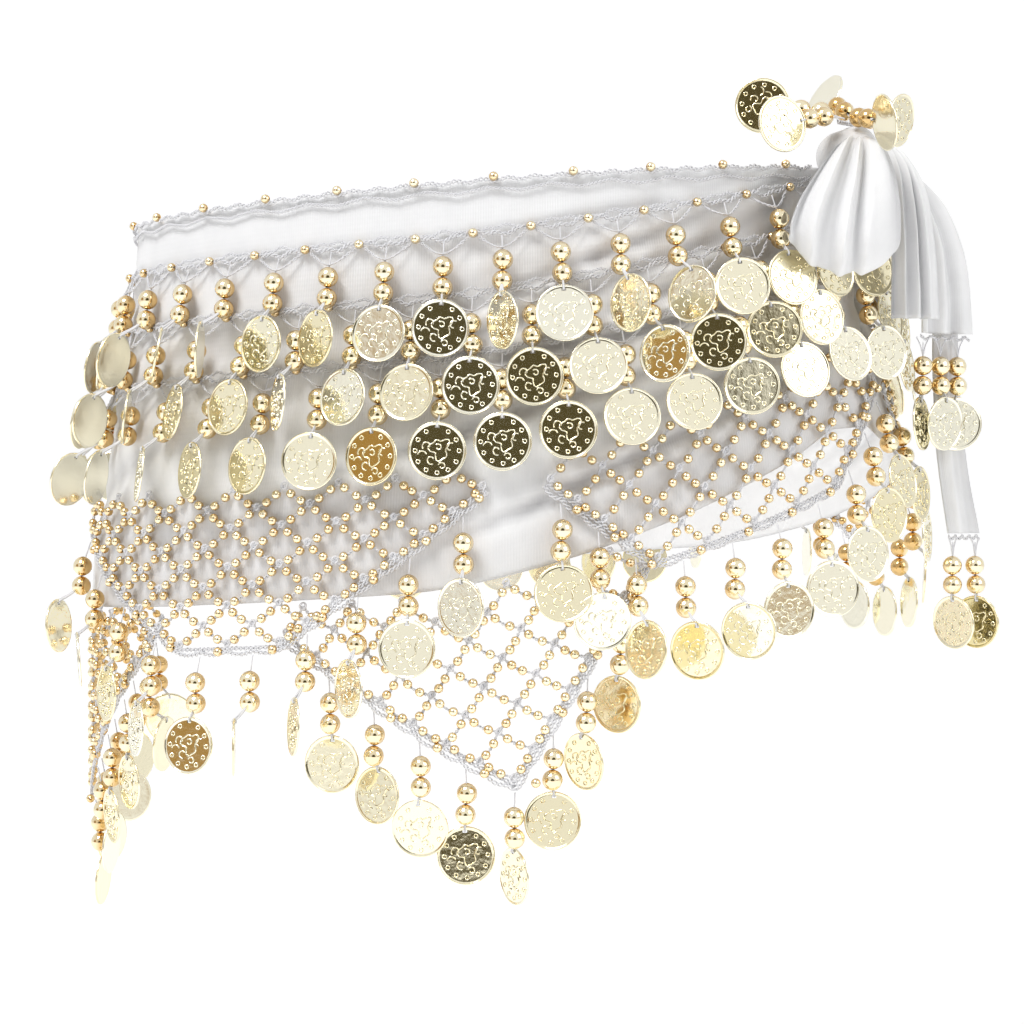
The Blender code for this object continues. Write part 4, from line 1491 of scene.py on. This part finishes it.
    def hanging(self, across: float, down: float, order: int) -> Hanging:
        """Place, turn and mood of one dangler of the edge.

        Args:
            across: Distance across the net from its middle.
            down: Distance below its top.
            order: Number of the dangler among the edge's marks.

        Returns:
            How it hangs.
        """
        share = self.centre + across / self.form.round_length
        turn = math.radians(BACK_TURNS[(order * 3 + len(self.name)) % len(BACK_TURNS)])
        if self.tier is Tier.UPPER:
            turn = calm_turn(self.form, share, turn)
            bead_out = self.upper_bead_out
            coin_out = bead_out + COIN_AHEAD + COIN_HALF_WIDTH * math.sin(turn)
        else:
            bead_out = self.lower_bead_out
            coin_out = self.lower_coin_out - COIN_HALF_WIDTH * math.sin(turn)

        def place(below: float, out: float) -> np.ndarray:
            """Point down the dangler."""
            return self.point(across, down + below, out)

        side, front = self.form.tangent(share), self.form.normal(share)
        mood = Mood.DARK if order in self.dark else Mood.PALE
        return Hanging(place, side, front, turn, bead_out, coin_out, mood)

    def build_fringe(self, wardrobe: Wardrobe, maker: DanglerMaker) -> bpy.types.Object:
        """Braid along the edge, its scallops and its danglers.

        Args:
            wardrobe: The finishes.
            maker: What makes the danglers.

        Returns:
            The dressed piece.
        """
        sheaf = Sheaf()
        path = self.edge_path()
        lengths = self.lengths(path)
        total = sum(lengths)
        steps = np.linspace(0.0, total, 260)
        line = np.array([self.along_path(path, float(step)) for step in steps])
        across, down = line[:, 0], line[:, 1]
        scallop = self.scallop_depth * np.abs(np.sin(math.pi * steps / (total / (2.0 * self.danglers))))
        level = self.level() + 0.0004
        facing = self.facing(across)
        braid = self.point(across - line[:, 3] * scallop, down + line[:, 2] * scallop, level)
        second = self.point(across + line[:, 3] * 0.0012, down - line[:, 2] * 0.0012, level - 0.0003)
        sheaf.cords(np.array([braid, second]), np.array([facing, facing]), self.crochet.chain)
        beads, bead_facing = [], []
        aside = 0.35 * total / self.danglers
        for order, distance in self.marks(path):
            middle, low, run, fall = self.along_path(path, distance)
            if len(lengths) == 2 and abs(distance - lengths[0]) < 1e-6:
                run, fall = 1.0, 0.0
            half_trim = 0.5 * self.trim_height
            maker.hang(sheaf, self.hanging(middle - fall * half_trim, low + run * half_trim, order))
            beads.append(self.point(middle + aside * run, low + aside * fall, level + 0.0006))
            bead_facing.append(self.facing(middle))
        chance = np.random.default_rng(self.seed)
        along = np.cross(np.array(bead_facing), UPWARD)
        self.crochet.small_beads(sheaf, np.array(beads), np.array(bead_facing), along, chance)
        name = self.name.replace("net", "fringe")
        return settle(sheaf.to_piece(f"{name}_dressed", wardrobe.dangler_set()), name, Slot.GILT)


@dataclass
class SoftSheet:
    """Pleated length of chiffon near the knot: bow loop or tail."""

    form: HipForm
    name: str
    rows: tuple[tuple[float, ...], ...]
    pleats: float
    flat: tuple[float, float]
    columns: int = 56
    steps: int = 64
    thickness: float = 0.0008
    crumple: float = 0.0003
    left_lift: float = 0.0
    right_lift: float = 0.0

    def build(self, wardrobe: Wardrobe) -> bpy.types.Object:
        """Thin shell through the smooth rows of the table.

        Args:
            wardrobe: The finishes.

        Returns:
            The dressed piece.
        """
        table = smooth_rows(np.array(self.rows), self.steps)
        along, out, up, half, depth, turn = (table[:, index][:, None] for index in range(6))
        bend = np.radians(table[:, 5])
        run_out = np.gradient(table[:, 1]) * np.cos(bend) - np.gradient(table[:, 0]) * np.sin(bend)
        run_up = np.gradient(table[:, 2])
        size = np.maximum(np.hypot(run_out, run_up), 1e-9)
        face_out, face_up = (-run_up / size)[:, None], (run_out / size)[:, None]
        part = np.linspace(-1.0, 1.0, self.columns + 1)[None, :]
        angle = np.radians(turn)
        level = np.linspace(0.0, 1.0, self.steps)[:, None]
        uneven = part + 0.10 * np.sin(2.6 * part + 1.0) + 0.06 * np.sin(6.1 * part - 2.0 * level)
        lift = depth * np.cos(math.pi * self.pleats * uneven + 0.5)
        crumple = np.sin(9.0 * part + 14.0 * level) * np.sin(5.0 * part - 8.0 * level + 1.0)
        lift = lift + self.crumple * crumple
        lift = lift + 0.3 * depth * np.cos(2.3 * math.pi * self.pleats * uneven + 1.9)
        left, right = np.maximum(-part, 0.0) ** 2.5, np.maximum(part, 0.0) ** 2.5
        corner = self.left_lift * left + self.right_lift * right
        up = up + corner * np.exp(-(((level - 0.54) / 0.20) ** 2))
        sides = []
        for share in (0.5, -0.5):
            away = lift + share * self.thickness
            sides.append(self.form.knot_place(
                along + half * part * np.cos(angle) - away * face_out * np.sin(angle),
                out + half * part * np.sin(angle) + away * face_out * np.cos(angle),
                up + away * face_up,
            ).reshape(-1, 3))
        width = self.columns + 1
        here = (np.arange(self.steps - 1) * width)[:, None] + np.arange(self.columns)[None, :]
        front = np.stack([here, here + width, here + width + 1, here + 1], axis=-1).reshape(-1, 4)
        shift = len(sides[0])
        back = front[:, ::-1] + shift
        rims = []
        for column in (0, self.columns):
            edge = np.arange(self.steps - 1) * width + column
            rim = np.stack([edge, edge + shift, edge + width + shift, edge + width], axis=-1)
            rims.append(rim if column == 0 else rim[:, ::-1])
        for row in (0, self.steps - 1):
            edge = row * width + np.arange(self.columns)
            rim = np.stack([edge, edge + 1, edge + 1 + shift, edge + shift], axis=-1)
            rims.append(rim if row == 0 else rim[:, ::-1])
        length = np.concatenate([[0.0], np.cumsum(np.hypot(run_out[1:], run_up[1:]))])[:, None]
        uv = np.stack([half * part * 1.6 + 0.0 * length, length + 0.0 * part], axis=-1).reshape(-1, 2)
        # Painted shade and light: the pleats' troughs get a darker tone and their ridges a lighter one.
        tone = np.clip(0.62 + 0.30 * lift / np.maximum(depth, 0.0006), 0.0, 1.0).reshape(-1)
        sheaf = Sheaf()
        sheaf.add(np.vstack(sides), [front, back, *rims], 0, np.tile(tone, 2), np.vstack([uv, uv]))
        piece = settle(sheaf.to_piece(f"{self.name}_cloth", [wardrobe.chiffon]), self.name, Slot.CHIFFON)
        return piece


@dataclass
class Knot:
    """Tied lump of chiffon with the cloth wound round it."""

    form: HipForm
    centre: tuple[float, float, float] = (0.000, 0.0146, 0.003)
    half: tuple[float, float, float] = (0.0120, 0.0145, 0.0130)
    rings: int = 44
    sides: int = 72

    def loop_rows(self, rows: tuple[tuple[float, ...], ...], degrees: float) -> tuple[tuple[float, ...], ...]:
        """Rows of the bow loop, turned to face the front of the belt.

        Args:
            rows: Aside, ahead, up, half width and pleat depth, from the knot and back to it.
            degrees: Turn of the loop's width.

        Returns:
            The rows by distance along the hips, out of them and up.
        """
        angle = math.radians(degrees)
        made = []
        for aside, ahead, up, half, depth in rows:
            along = self.centre[0] + aside * math.cos(angle) - ahead * math.sin(angle)
            out = self.centre[1] + aside * math.sin(angle) + ahead * math.cos(angle)
            made.append((along, out, up, half, depth, degrees))
        return tuple(made)

    def build(self, wardrobe: Wardrobe) -> bpy.types.Object:
        """Lump with wound pleats.

        Args:
            wardrobe: The finishes.

        Returns:
            The dressed piece.
        """
        tilt = np.linspace(0.02, math.pi - 0.02, self.rings)[:, None]
        turn = (np.arange(self.sides) * math.tau / self.sides)[None, :]
        pleat = 1.0 + 0.05 * np.cos(3.0 * turn + 2.2 * tilt) + 0.030 * np.abs(np.sin(4.0 * tilt + 1.3 * turn))
        pleat = pleat + 0.014 * np.sin(11.0 * tilt - 2.0 * turn)
        points = self.form.knot_place(
            self.centre[0] + self.half[0] * np.cos(tilt) + 0.0 * turn,
            self.centre[1] + self.half[1] * np.sin(tilt) * np.cos(turn) * pleat,
            self.centre[2] + self.half[2] * np.sin(tilt) * np.sin(turn) * pleat,
        ).reshape(-1, 3)
        here, after = ring_pairs(self.rings, self.sides)
        quads = np.stack([here, after, after + self.sides, here + self.sides], axis=-1).reshape(-1, 4)
        ends = [
            np.arange(self.sides)[None, ::-1],
            ((self.rings - 1) * self.sides + np.arange(self.sides))[None, :],
        ]
        uv = np.stack([0.06 * turn / math.tau + 0.0 * tilt, 0.04 * tilt / math.pi + 0.0 * turn], axis=-1)
        sheaf = Sheaf()
        sheaf.add(points, [quads, *ends], 0, uv=uv.reshape(-1, 2))
        return settle(sheaf.to_piece("knot_cloth", [wardrobe.chiffon]), "knot", Slot.CHIFFON)


@dataclass
class TailFringe:
    """Danglers on the hem of a tail."""

    form: HipForm
    crochet: Crochet
    name: str
    hem: tuple[float, ...]
    danglers: tuple[tuple[float, float, float], ...]
    trim_height: float = TRIM_HEIGHT

    def at(self, part: float, away: float, drop: float) -> np.ndarray:
        """Point by share of the hem's half width, distance off it and drop.

        Args:
            part: Share of the hem's half width, from -1 to 1.
            away: Distance off the cloth.
            drop: Distance below the hem.

        Returns:
            The point.
        """
        along, out, up, half, _, turn = self.hem
        angle = math.radians(turn)
        return self.form.knot_place(
            along + half * part * math.cos(angle) - away * math.sin(angle),
            out + half * part * math.sin(angle) + away * math.cos(angle), up - 0.0003 - drop,
        )

    def build(self, wardrobe: Wardrobe, maker: DanglerMaker) -> bpy.types.Object:
        """Thread along the hem and its danglers.

        Args:
            wardrobe: The finishes.
            maker: What makes the danglers.

        Returns:
            The dressed piece.
        """
        sheaf = Sheaf()
        angle = math.radians(self.hem[5])
        sideways = self.form.tangent(self.form.knot_share)
        outward = self.form.normal(self.form.knot_share)
        side = sideways * math.cos(angle) + outward * math.sin(angle)
        front = outward * math.cos(angle) - sideways * math.sin(angle)
        parts = np.linspace(-1.0, 1.0, 60)
        waves = 0.0016 + 0.0008 * np.sin(14.0 * parts)
        edge = np.array([self.at(float(part), 0.0, float(wave)) for part, wave in zip(parts, waves)])
        sheaf.cords(edge[None], front[None], self.crochet.hem)
        for part, degrees, standoff in self.danglers:
            def place(below: float, away: float, part: float = part) -> np.ndarray:
                """Point down the dangler."""
                return self.at(part, away, self.trim_height + below)

            mood = Mood.DARK if part > 0.0 else Mood.PALE
            maker.hang(sheaf, Hanging(place, side, front, math.radians(degrees), 0.0, standoff, mood))
            loops = np.array([
                [self.at(part + 0.25 * hand, 0.0, 0.0016), self.at(part + 0.10 * hand, 0.0, 0.0050),
                 place(0.0060, 0.0)] for hand in (-1.0, 1.0)
            ])
            sheaf.tubes(loops, np.stack([front, front]), 0.0004, 4, Layer.THREAD)
        return settle(sheaf.to_piece(f"{self.name}_dressed", wardrobe.dangler_set()), self.name, Slot.GILT)


@dataclass
class KnotCoins:
    """Coins and beads that stand round the top of the knot.

    Each row has the start along the knot's thread, the direction along the hips, out of them and up, and
    the turn of the coin in degrees.
    """

    form: HipForm
    crochet: Crochet
    knot: Knot
    rows: tuple[tuple[float, ...], ...] = (
        (-0.0065, -0.958, -0.164, -0.190, 6.0),
        (-0.0035, -0.417, -0.867, 0.150, 6.0),
        (-0.0005, -0.510, 0.830, -0.200, 10.0),
        (0.0030, 0.525, -0.769, 0.350, 30.0),
        (0.0065, 0.994, -0.040, 0.070, 12.0),
    )
    trim_height: float = TRIM_HEIGHT

    def build(self, wardrobe: Wardrobe, maker: DanglerMaker) -> bpy.types.Object:
        """Short thread over the knot and the danglers on it.

        Args:
            wardrobe: The finishes.
            maker: What makes the danglers.

        Returns:
            The dressed piece.
        """
        sheaf = Sheaf()
        base = self.knot.centre[2] + self.knot.half[2] + self.trim_height
        out = self.knot.centre[1]
        sideways = self.form.tangent(self.form.knot_share)
        outward = self.form.normal(self.form.knot_share)
        part = np.linspace(-0.009, 0.009, 40)
        bar = self.form.knot_place(part, out, base - 0.0018)
        sheaf.cords(bar[None], outward[None], self.crochet.knot_bar)
        for start, along, away, rise, degrees in self.rows:
            line = unit(sideways * along + outward * away + UPWARD * rise)
            side = unit(np.cross(UPWARD, line))
            front = side if float(np.dot(side, outward)) >= 0.0 else -side
            side = unit(np.cross(front, line))
            origin = self.form.knot_place(start, out, base)

            def place(below: float, off: float, line: np.ndarray = line, front: np.ndarray = front,
                      origin: np.ndarray = origin) -> np.ndarray:
                """Point along the dangler."""
                rise_off = UPWARD * 0.0015 * (1.0 - math.exp(-below / 0.003))
                return origin + line * below + front * off + rise_off

            maker.hang(sheaf, Hanging(place, side, front, math.radians(degrees), 0.0, 0.0, Mood.DARK))
        return settle(sheaf.to_piece("knot_coins_dressed", wardrobe.dangler_set()), "knot_coins", Slot.GILT)


@dataclass(frozen=True)
class Patch:
    """Shade of the surroundings towards a direction, with the cosines where it starts and is full."""

    direction: tuple[float, float, float]
    start: float
    full: float
    shade: Colour


@dataclass(frozen=True)
class Lamp:
    """Square soft lamp that aims at the belt."""

    name: str
    place: tuple[float, float, float]
    size: float
    power: float
    specular: float = 0.3

    def build(self) -> None:
        """Hang the lamp."""
        data = bpy.data.lights.new(self.name, "AREA")
        data.size = self.size
        data.energy = self.power
        data.specular_factor = self.specular
        lamp = bpy.data.objects.new(self.name, data)
        lamp.location = self.place
        across, deep, up = self.place
        tip = math.acos(up / math.hypot(across, deep, up))
        lamp.rotation_euler = (tip, 0.0, math.atan2(-deep, -across) - 0.5 * math.pi)
        bpy.context.scene.collection.objects.link(lamp)


@dataclass
class Studio:
    """Pale floor, soft light and the camera at the photograph's angle."""

    eye: tuple[float, float, float] = EYE
    focal_length: float = 85.7
    sensor_width: float = 36.0
    centre_column: float = 497.0
    eye_row: float = 450.0
    frame_pixels: float = 1024.0
    floor_height: float = -0.36
    floor_reach: float = 6.0
    floor_front: float = -2.0
    bend_start: float = 1.4
    bend_radius: float = 1.2
    bend_steps: int = 16
    wall_height: float = 4.0
    glossy_white: float = 0.90
    soft_light: Colour = (0.40, 0.40, 0.405)
    patches: tuple[Patch, ...] = (
        Patch(DARK_SIDE, 0.925, 0.955, (0.085, 0.070, 0.032)),
        Patch((0.78, -0.55, -0.30), 0.93, 0.975, (0.40, 0.25, 0.08)),
        Patch((-0.85, -0.45, 0.10), 0.94, 0.980, (0.40, 0.24, 0.07)),
        Patch((0.0, 1.0, -0.05), 0.40, 0.93, (0.42, 0.27, 0.11)),
    )
    lamps: tuple[Lamp, ...] = (
        Lamp("key", (-0.75, -0.95, 1.55), 0.8, 27.0),
        Lamp("fill", (1.3, -0.9, 0.7), 1.0, 7.0),
    )

    def camera(self) -> None:
        """Camera level with the belt."""
        data = bpy.data.cameras.new("camera")
        data.lens = self.focal_length
        data.sensor_width = self.sensor_width
        data.shift_x = (0.5 * self.frame_pixels - self.centre_column) / self.frame_pixels
        data.shift_y = (self.eye_row - 0.5 * self.frame_pixels) / self.frame_pixels
        camera = bpy.data.objects.new("camera", data)
        camera.location = self.eye
        camera.rotation_euler = (0.5 * math.pi, 0.0, 0.0)
        bpy.context.scene.collection.objects.link(camera)
        bpy.context.scene.camera = camera

    def floor(self) -> None:
        """Wide pale floor below the belt, which bends up into a wall behind it."""
        mesh = bpy.data.meshes.new("floor")
        profile = [(self.floor_front, 0.0), (self.bend_start, 0.0)]
        for step in range(1, self.bend_steps + 1):
            angle = 0.5 * math.pi * step / self.bend_steps
            profile.append((self.bend_start + self.bend_radius * math.sin(angle),
                            self.bend_radius * (1.0 - math.cos(angle))))
        profile.append((self.bend_start + self.bend_radius, self.wall_height))
        corners = [(side * self.floor_reach, deep, self.floor_height + rise)
                   for deep, rise in profile for side in (-1.0, 1.0)]
        faces = [(2 * row, 2 * row + 1, 2 * row + 3, 2 * row + 2) for row in range(len(profile) - 1)]
        mesh.from_pydata(corners, [], faces)
        mesh.polygons.foreach_set("use_smooth", [True] * len(faces))
        floor = bpy.data.objects.new("floor", mesh)
        bpy.context.scene.collection.objects.link(floor)
        material = bpy.data.materials.new("pale_floor")
        material.use_nodes = True
        shader = material.node_tree.nodes["Principled BSDF"]
        shader.inputs["Base Color"].default_value = (0.98, 0.98, 0.98, 1.0)
        shader.inputs["Roughness"].default_value = 0.9
        shader.inputs["Emission Color"].default_value = (1.0, 1.0, 1.0, 1.0)
        shader.inputs["Emission Strength"].default_value = 0.30
        mesh.materials.append(material)

    def world(self) -> None:
        """White surroundings; the metal alone mirrors a dark opening in front and warm shades round it."""
        world = bpy.data.worlds.new("studio")
        bpy.context.scene.world = world
        world.use_nodes = True
        tree = world.node_tree
        nodes, links = tree.nodes, tree.links
        background = nodes["Background"]
        place = nodes.new("ShaderNodeTexCoord")
        colour: Colour | bpy.types.NodeSocket = (self.glossy_white,) * 3
        for patch in self.patches:
            dot = nodes.new("ShaderNodeVectorMath")
            dot.operation = "DOT_PRODUCT"
            links.new(place.outputs["Generated"], dot.inputs[0])
            size = math.hypot(*patch.direction)
            dot.inputs[1].default_value = tuple(value / size for value in patch.direction)
            band = nodes.new("ShaderNodeMapRange")
            band.inputs["From Min"].default_value = patch.start
            band.inputs["From Max"].default_value = patch.full
            links.new(dot.outputs["Value"], band.inputs["Value"])
            colour = mix_colours(tree, band.outputs["Result"], colour, patch.shade)
        ray = nodes.new("ShaderNodeLightPath")
        soft = mix_colours(tree, ray.outputs["Is Glossy Ray"], self.soft_light, colour)
        seen = mix_colours(tree, ray.outputs["Is Camera Ray"], soft, (1.0, 1.0, 1.0))
        links.new(seen, background.inputs["Color"])
        background.inputs["Strength"].default_value = 1.0

    def build(self) -> None:
        """Whole studio."""
        self.camera()
        self.floor()
        self.world()
        for lamp in self.lamps:
            lamp.build()
        bpy.context.scene.view_settings.view_transform = "Standard"
        LOG.info("studio ready")


# Bow loop: aside and ahead of the knot's middle, up, half width and pleat depth, from the knot and back to it
BOW_TURN = 36.0
BOW_LOOP = (
    (0.0000, 0.0131, 0.0100, 0.0060, 0.0006),
    (-0.0020, 0.0195, 0.0060, 0.0110, 0.0016),
    (-0.0060, 0.0260, -0.0060, 0.0175, 0.0026),
    (-0.0100, 0.0300, -0.0200, 0.0225, 0.0028),
    (-0.0120, 0.0305, -0.0330, 0.0245, 0.0024),
    (-0.0120, 0.0280, -0.0430, 0.0245, 0.0016),
    (-0.0120, 0.0245, -0.0480, 0.0235, 0.0010),
    (-0.0090, 0.0215, -0.0465, 0.0190, 0.0008),
    (-0.0060, 0.0180, -0.0380, 0.0140, 0.0008),
    (-0.0030, 0.0150, -0.0270, 0.0110, 0.0008),
    (-0.0010, 0.0115, -0.0170, 0.0085, 0.0008),
    (0.0000, 0.0085, -0.0085, 0.0060, 0.0006),
)

# Tails: distance along the hips, out of them and up, half width, pleat depth and turn in degrees
TAIL_FRONT = (
    (0.0144, 0.0170, 0.0060, 0.0025, 0.0003, 0.0),
    (0.0190, 0.0230, 0.0080, 0.0045, 0.0010, 10.0),
    (0.0195, 0.0298, -0.0010, 0.0068, 0.0018, 20.0),
    (0.0198, 0.0333, -0.0140, 0.0088, 0.0024, 30.0),
    (0.0199, 0.0351, -0.0300, 0.0102, 0.0026, 30.0),
    (0.0203, 0.0359, -0.0480, 0.0112, 0.0026, 30.0),
    (0.0207, 0.0362, -0.0660, 0.0118, 0.0026, 30.0),
)
TAIL_BACK = (
    (0.0144, 0.0136, 0.0010, 0.0025, 0.0003, 0.0),
    (0.0275, 0.0200, 0.0000, 0.0070, 0.0010, 4.0),
    (0.0410, 0.0250, -0.0120, 0.0110, 0.0016, 9.0),
    (0.0505, 0.0276, -0.0300, 0.0128, 0.0018, 13.0),
    (0.0550, 0.0280, -0.0500, 0.0140, 0.0018, 15.0),
    (0.0560, 0.0280, -0.0710, 0.0148, 0.0018, 15.0),
)
TAIL_STRIP = (
    (0.0600, 0.0259, -0.0400, 0.0070, 0.0002, 15.0),
    (0.0630, 0.0240, -0.0690, 0.0072, 0.0004, 18.0),
    (0.0670, 0.0225, -0.0990, 0.0074, 0.0006, 22.0),
    (0.0705, 0.0230, -0.1280, 0.0075, 0.0006, 28.0),
    (0.0745, 0.0264, -0.1600, 0.0076, 0.0004, 34.0),
)

# Danglers of the tails' hems: share of the half width, turn in degrees and distance off the cloth
BACK_HEM = ((-0.90, -30.0, -0.0010), (-0.20, -8.0, 0.0030), (0.50, 14.0, -0.0010))
STRIP_HEM = ((-0.72, 66.0, 0.0010), (0.72, 70.0, 0.0010))

# Coin rows: name, drop of the trim, danglers, start in steps from the knot, turns in degrees, dark coins
COIN_ROWS = (
    ("coin_row_1", 0.023, 37, 0.5, (0, 8, 14, 58, 62, 6, 60, 4, 12, 34, 18, 60, 40, 64, 20), (7,)),
    ("coin_row_2", 0.048, 36, 1.0, (6, 12, 8, 50, 10, 4, 6, 14, 24, 52, 14, 30, 40, 60, 30), (1, 2, 5, 6)),
    ("coin_row_3", 0.073, 37, 0.5, (10, 20, 6, 8, 4, 10, 6, 4, 16, 10, 22, 30, 36, 52, 58),
     (2, 5, 6, 7, 9, 12)),
)

# Nets: name, tier, centre, top drop, cells in the top row, rows, half cell across, half cell down, lean,
# danglers, dark coins
NETS = (
    ("net_upper_front_left", Tier.UPPER, -0.118, 0.120, 9, 7, 0.0120, 0.0080, 0.00, 10, (4, 6, 9)),
    ("net_upper_front_right", Tier.UPPER, 0.112, 0.120, 8, 4, 0.0108, 0.0110, 0.00, 10, (5, 8)),
    ("net_upper_back_right", Tier.UPPER, 0.281, 0.120, 6, 4, 0.0108, 0.0110, 0.00, 8, (2, 5)),
    ("net_upper_back_left", Tier.UPPER, 0.486, 0.100, 9, 3, 0.0120, 0.0080, 0.00, 10, (3, 7)),
    ("net_lower_front", Tier.LOWER, -0.018, 0.168, 7, 7, 0.0105, 0.0100, 0.30, 9, (1, 4)),
    ("net_lower_left", Tier.LOWER, -0.240, 0.168, 7, 7, 0.0105, 0.0100, 0.00, 9, (4, 6)),
)


def dress_knot(form: HipForm, crochet: Crochet, wardrobe: Wardrobe, maker: DanglerMaker) -> None:
    """Dress the knot, its bow loop, its tails and the danglers on them.

    Args:
        form: Form of the hips.
        crochet: Twists of thread.
        wardrobe: The finishes.
        maker: What makes the danglers.
    """
    knot = Knot(form)
    knot.build(wardrobe)
    bow_rows = knot.loop_rows(BOW_LOOP, BOW_TURN)
    loop = SoftSheet(form, "bow_loop", bow_rows, 3.2, (0.055, 0.115), left_lift=0.013, right_lift=0.008)
    loop.build(wardrobe)
    SoftSheet(form, "tail_front", TAIL_FRONT, 3.0, (0.040, 0.085)).build(wardrobe)
    SoftSheet(form, "tail_back", TAIL_BACK, 2.0, (0.033, 0.080)).build(wardrobe)
    SoftSheet(form, "tail_strip", TAIL_STRIP, 1.0, (0.015, 0.121), columns=20).build(wardrobe)
    TailFringe(form, crochet, "tail_back_fringe", TAIL_BACK[-1], BACK_HEM).build(wardrobe, maker)
    TailFringe(form, crochet, "tail_strip_fringe", TAIL_STRIP[-1], STRIP_HEM).build(wardrobe, maker)
    KnotCoins(form, crochet, knot).build(wardrobe, maker)


def main() -> None:
    """Load the frame, dress every node and set the studio."""
    logging.basicConfig(level=logging.INFO)
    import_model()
    form = HipForm()
    crochet = Crochet()
    wardrobe = Wardrobe()
    maker = DanglerMaker()
    Studio().build()
    Wrap(form).build(wardrobe)
    TopEdge(form, crochet).build(wardrobe)
    for row in COIN_ROWS:
        CoinRow(form, crochet, *row).build(wardrobe, maker)
    for row in NETS:
        triangle = NetTriangle(form, crochet, *row)
        triangle.build_net(wardrobe)
        triangle.build_fringe(wardrobe, maker)
    dress_knot(form, crochet, wardrobe, maker)


if __name__ == "__main__":
    main()
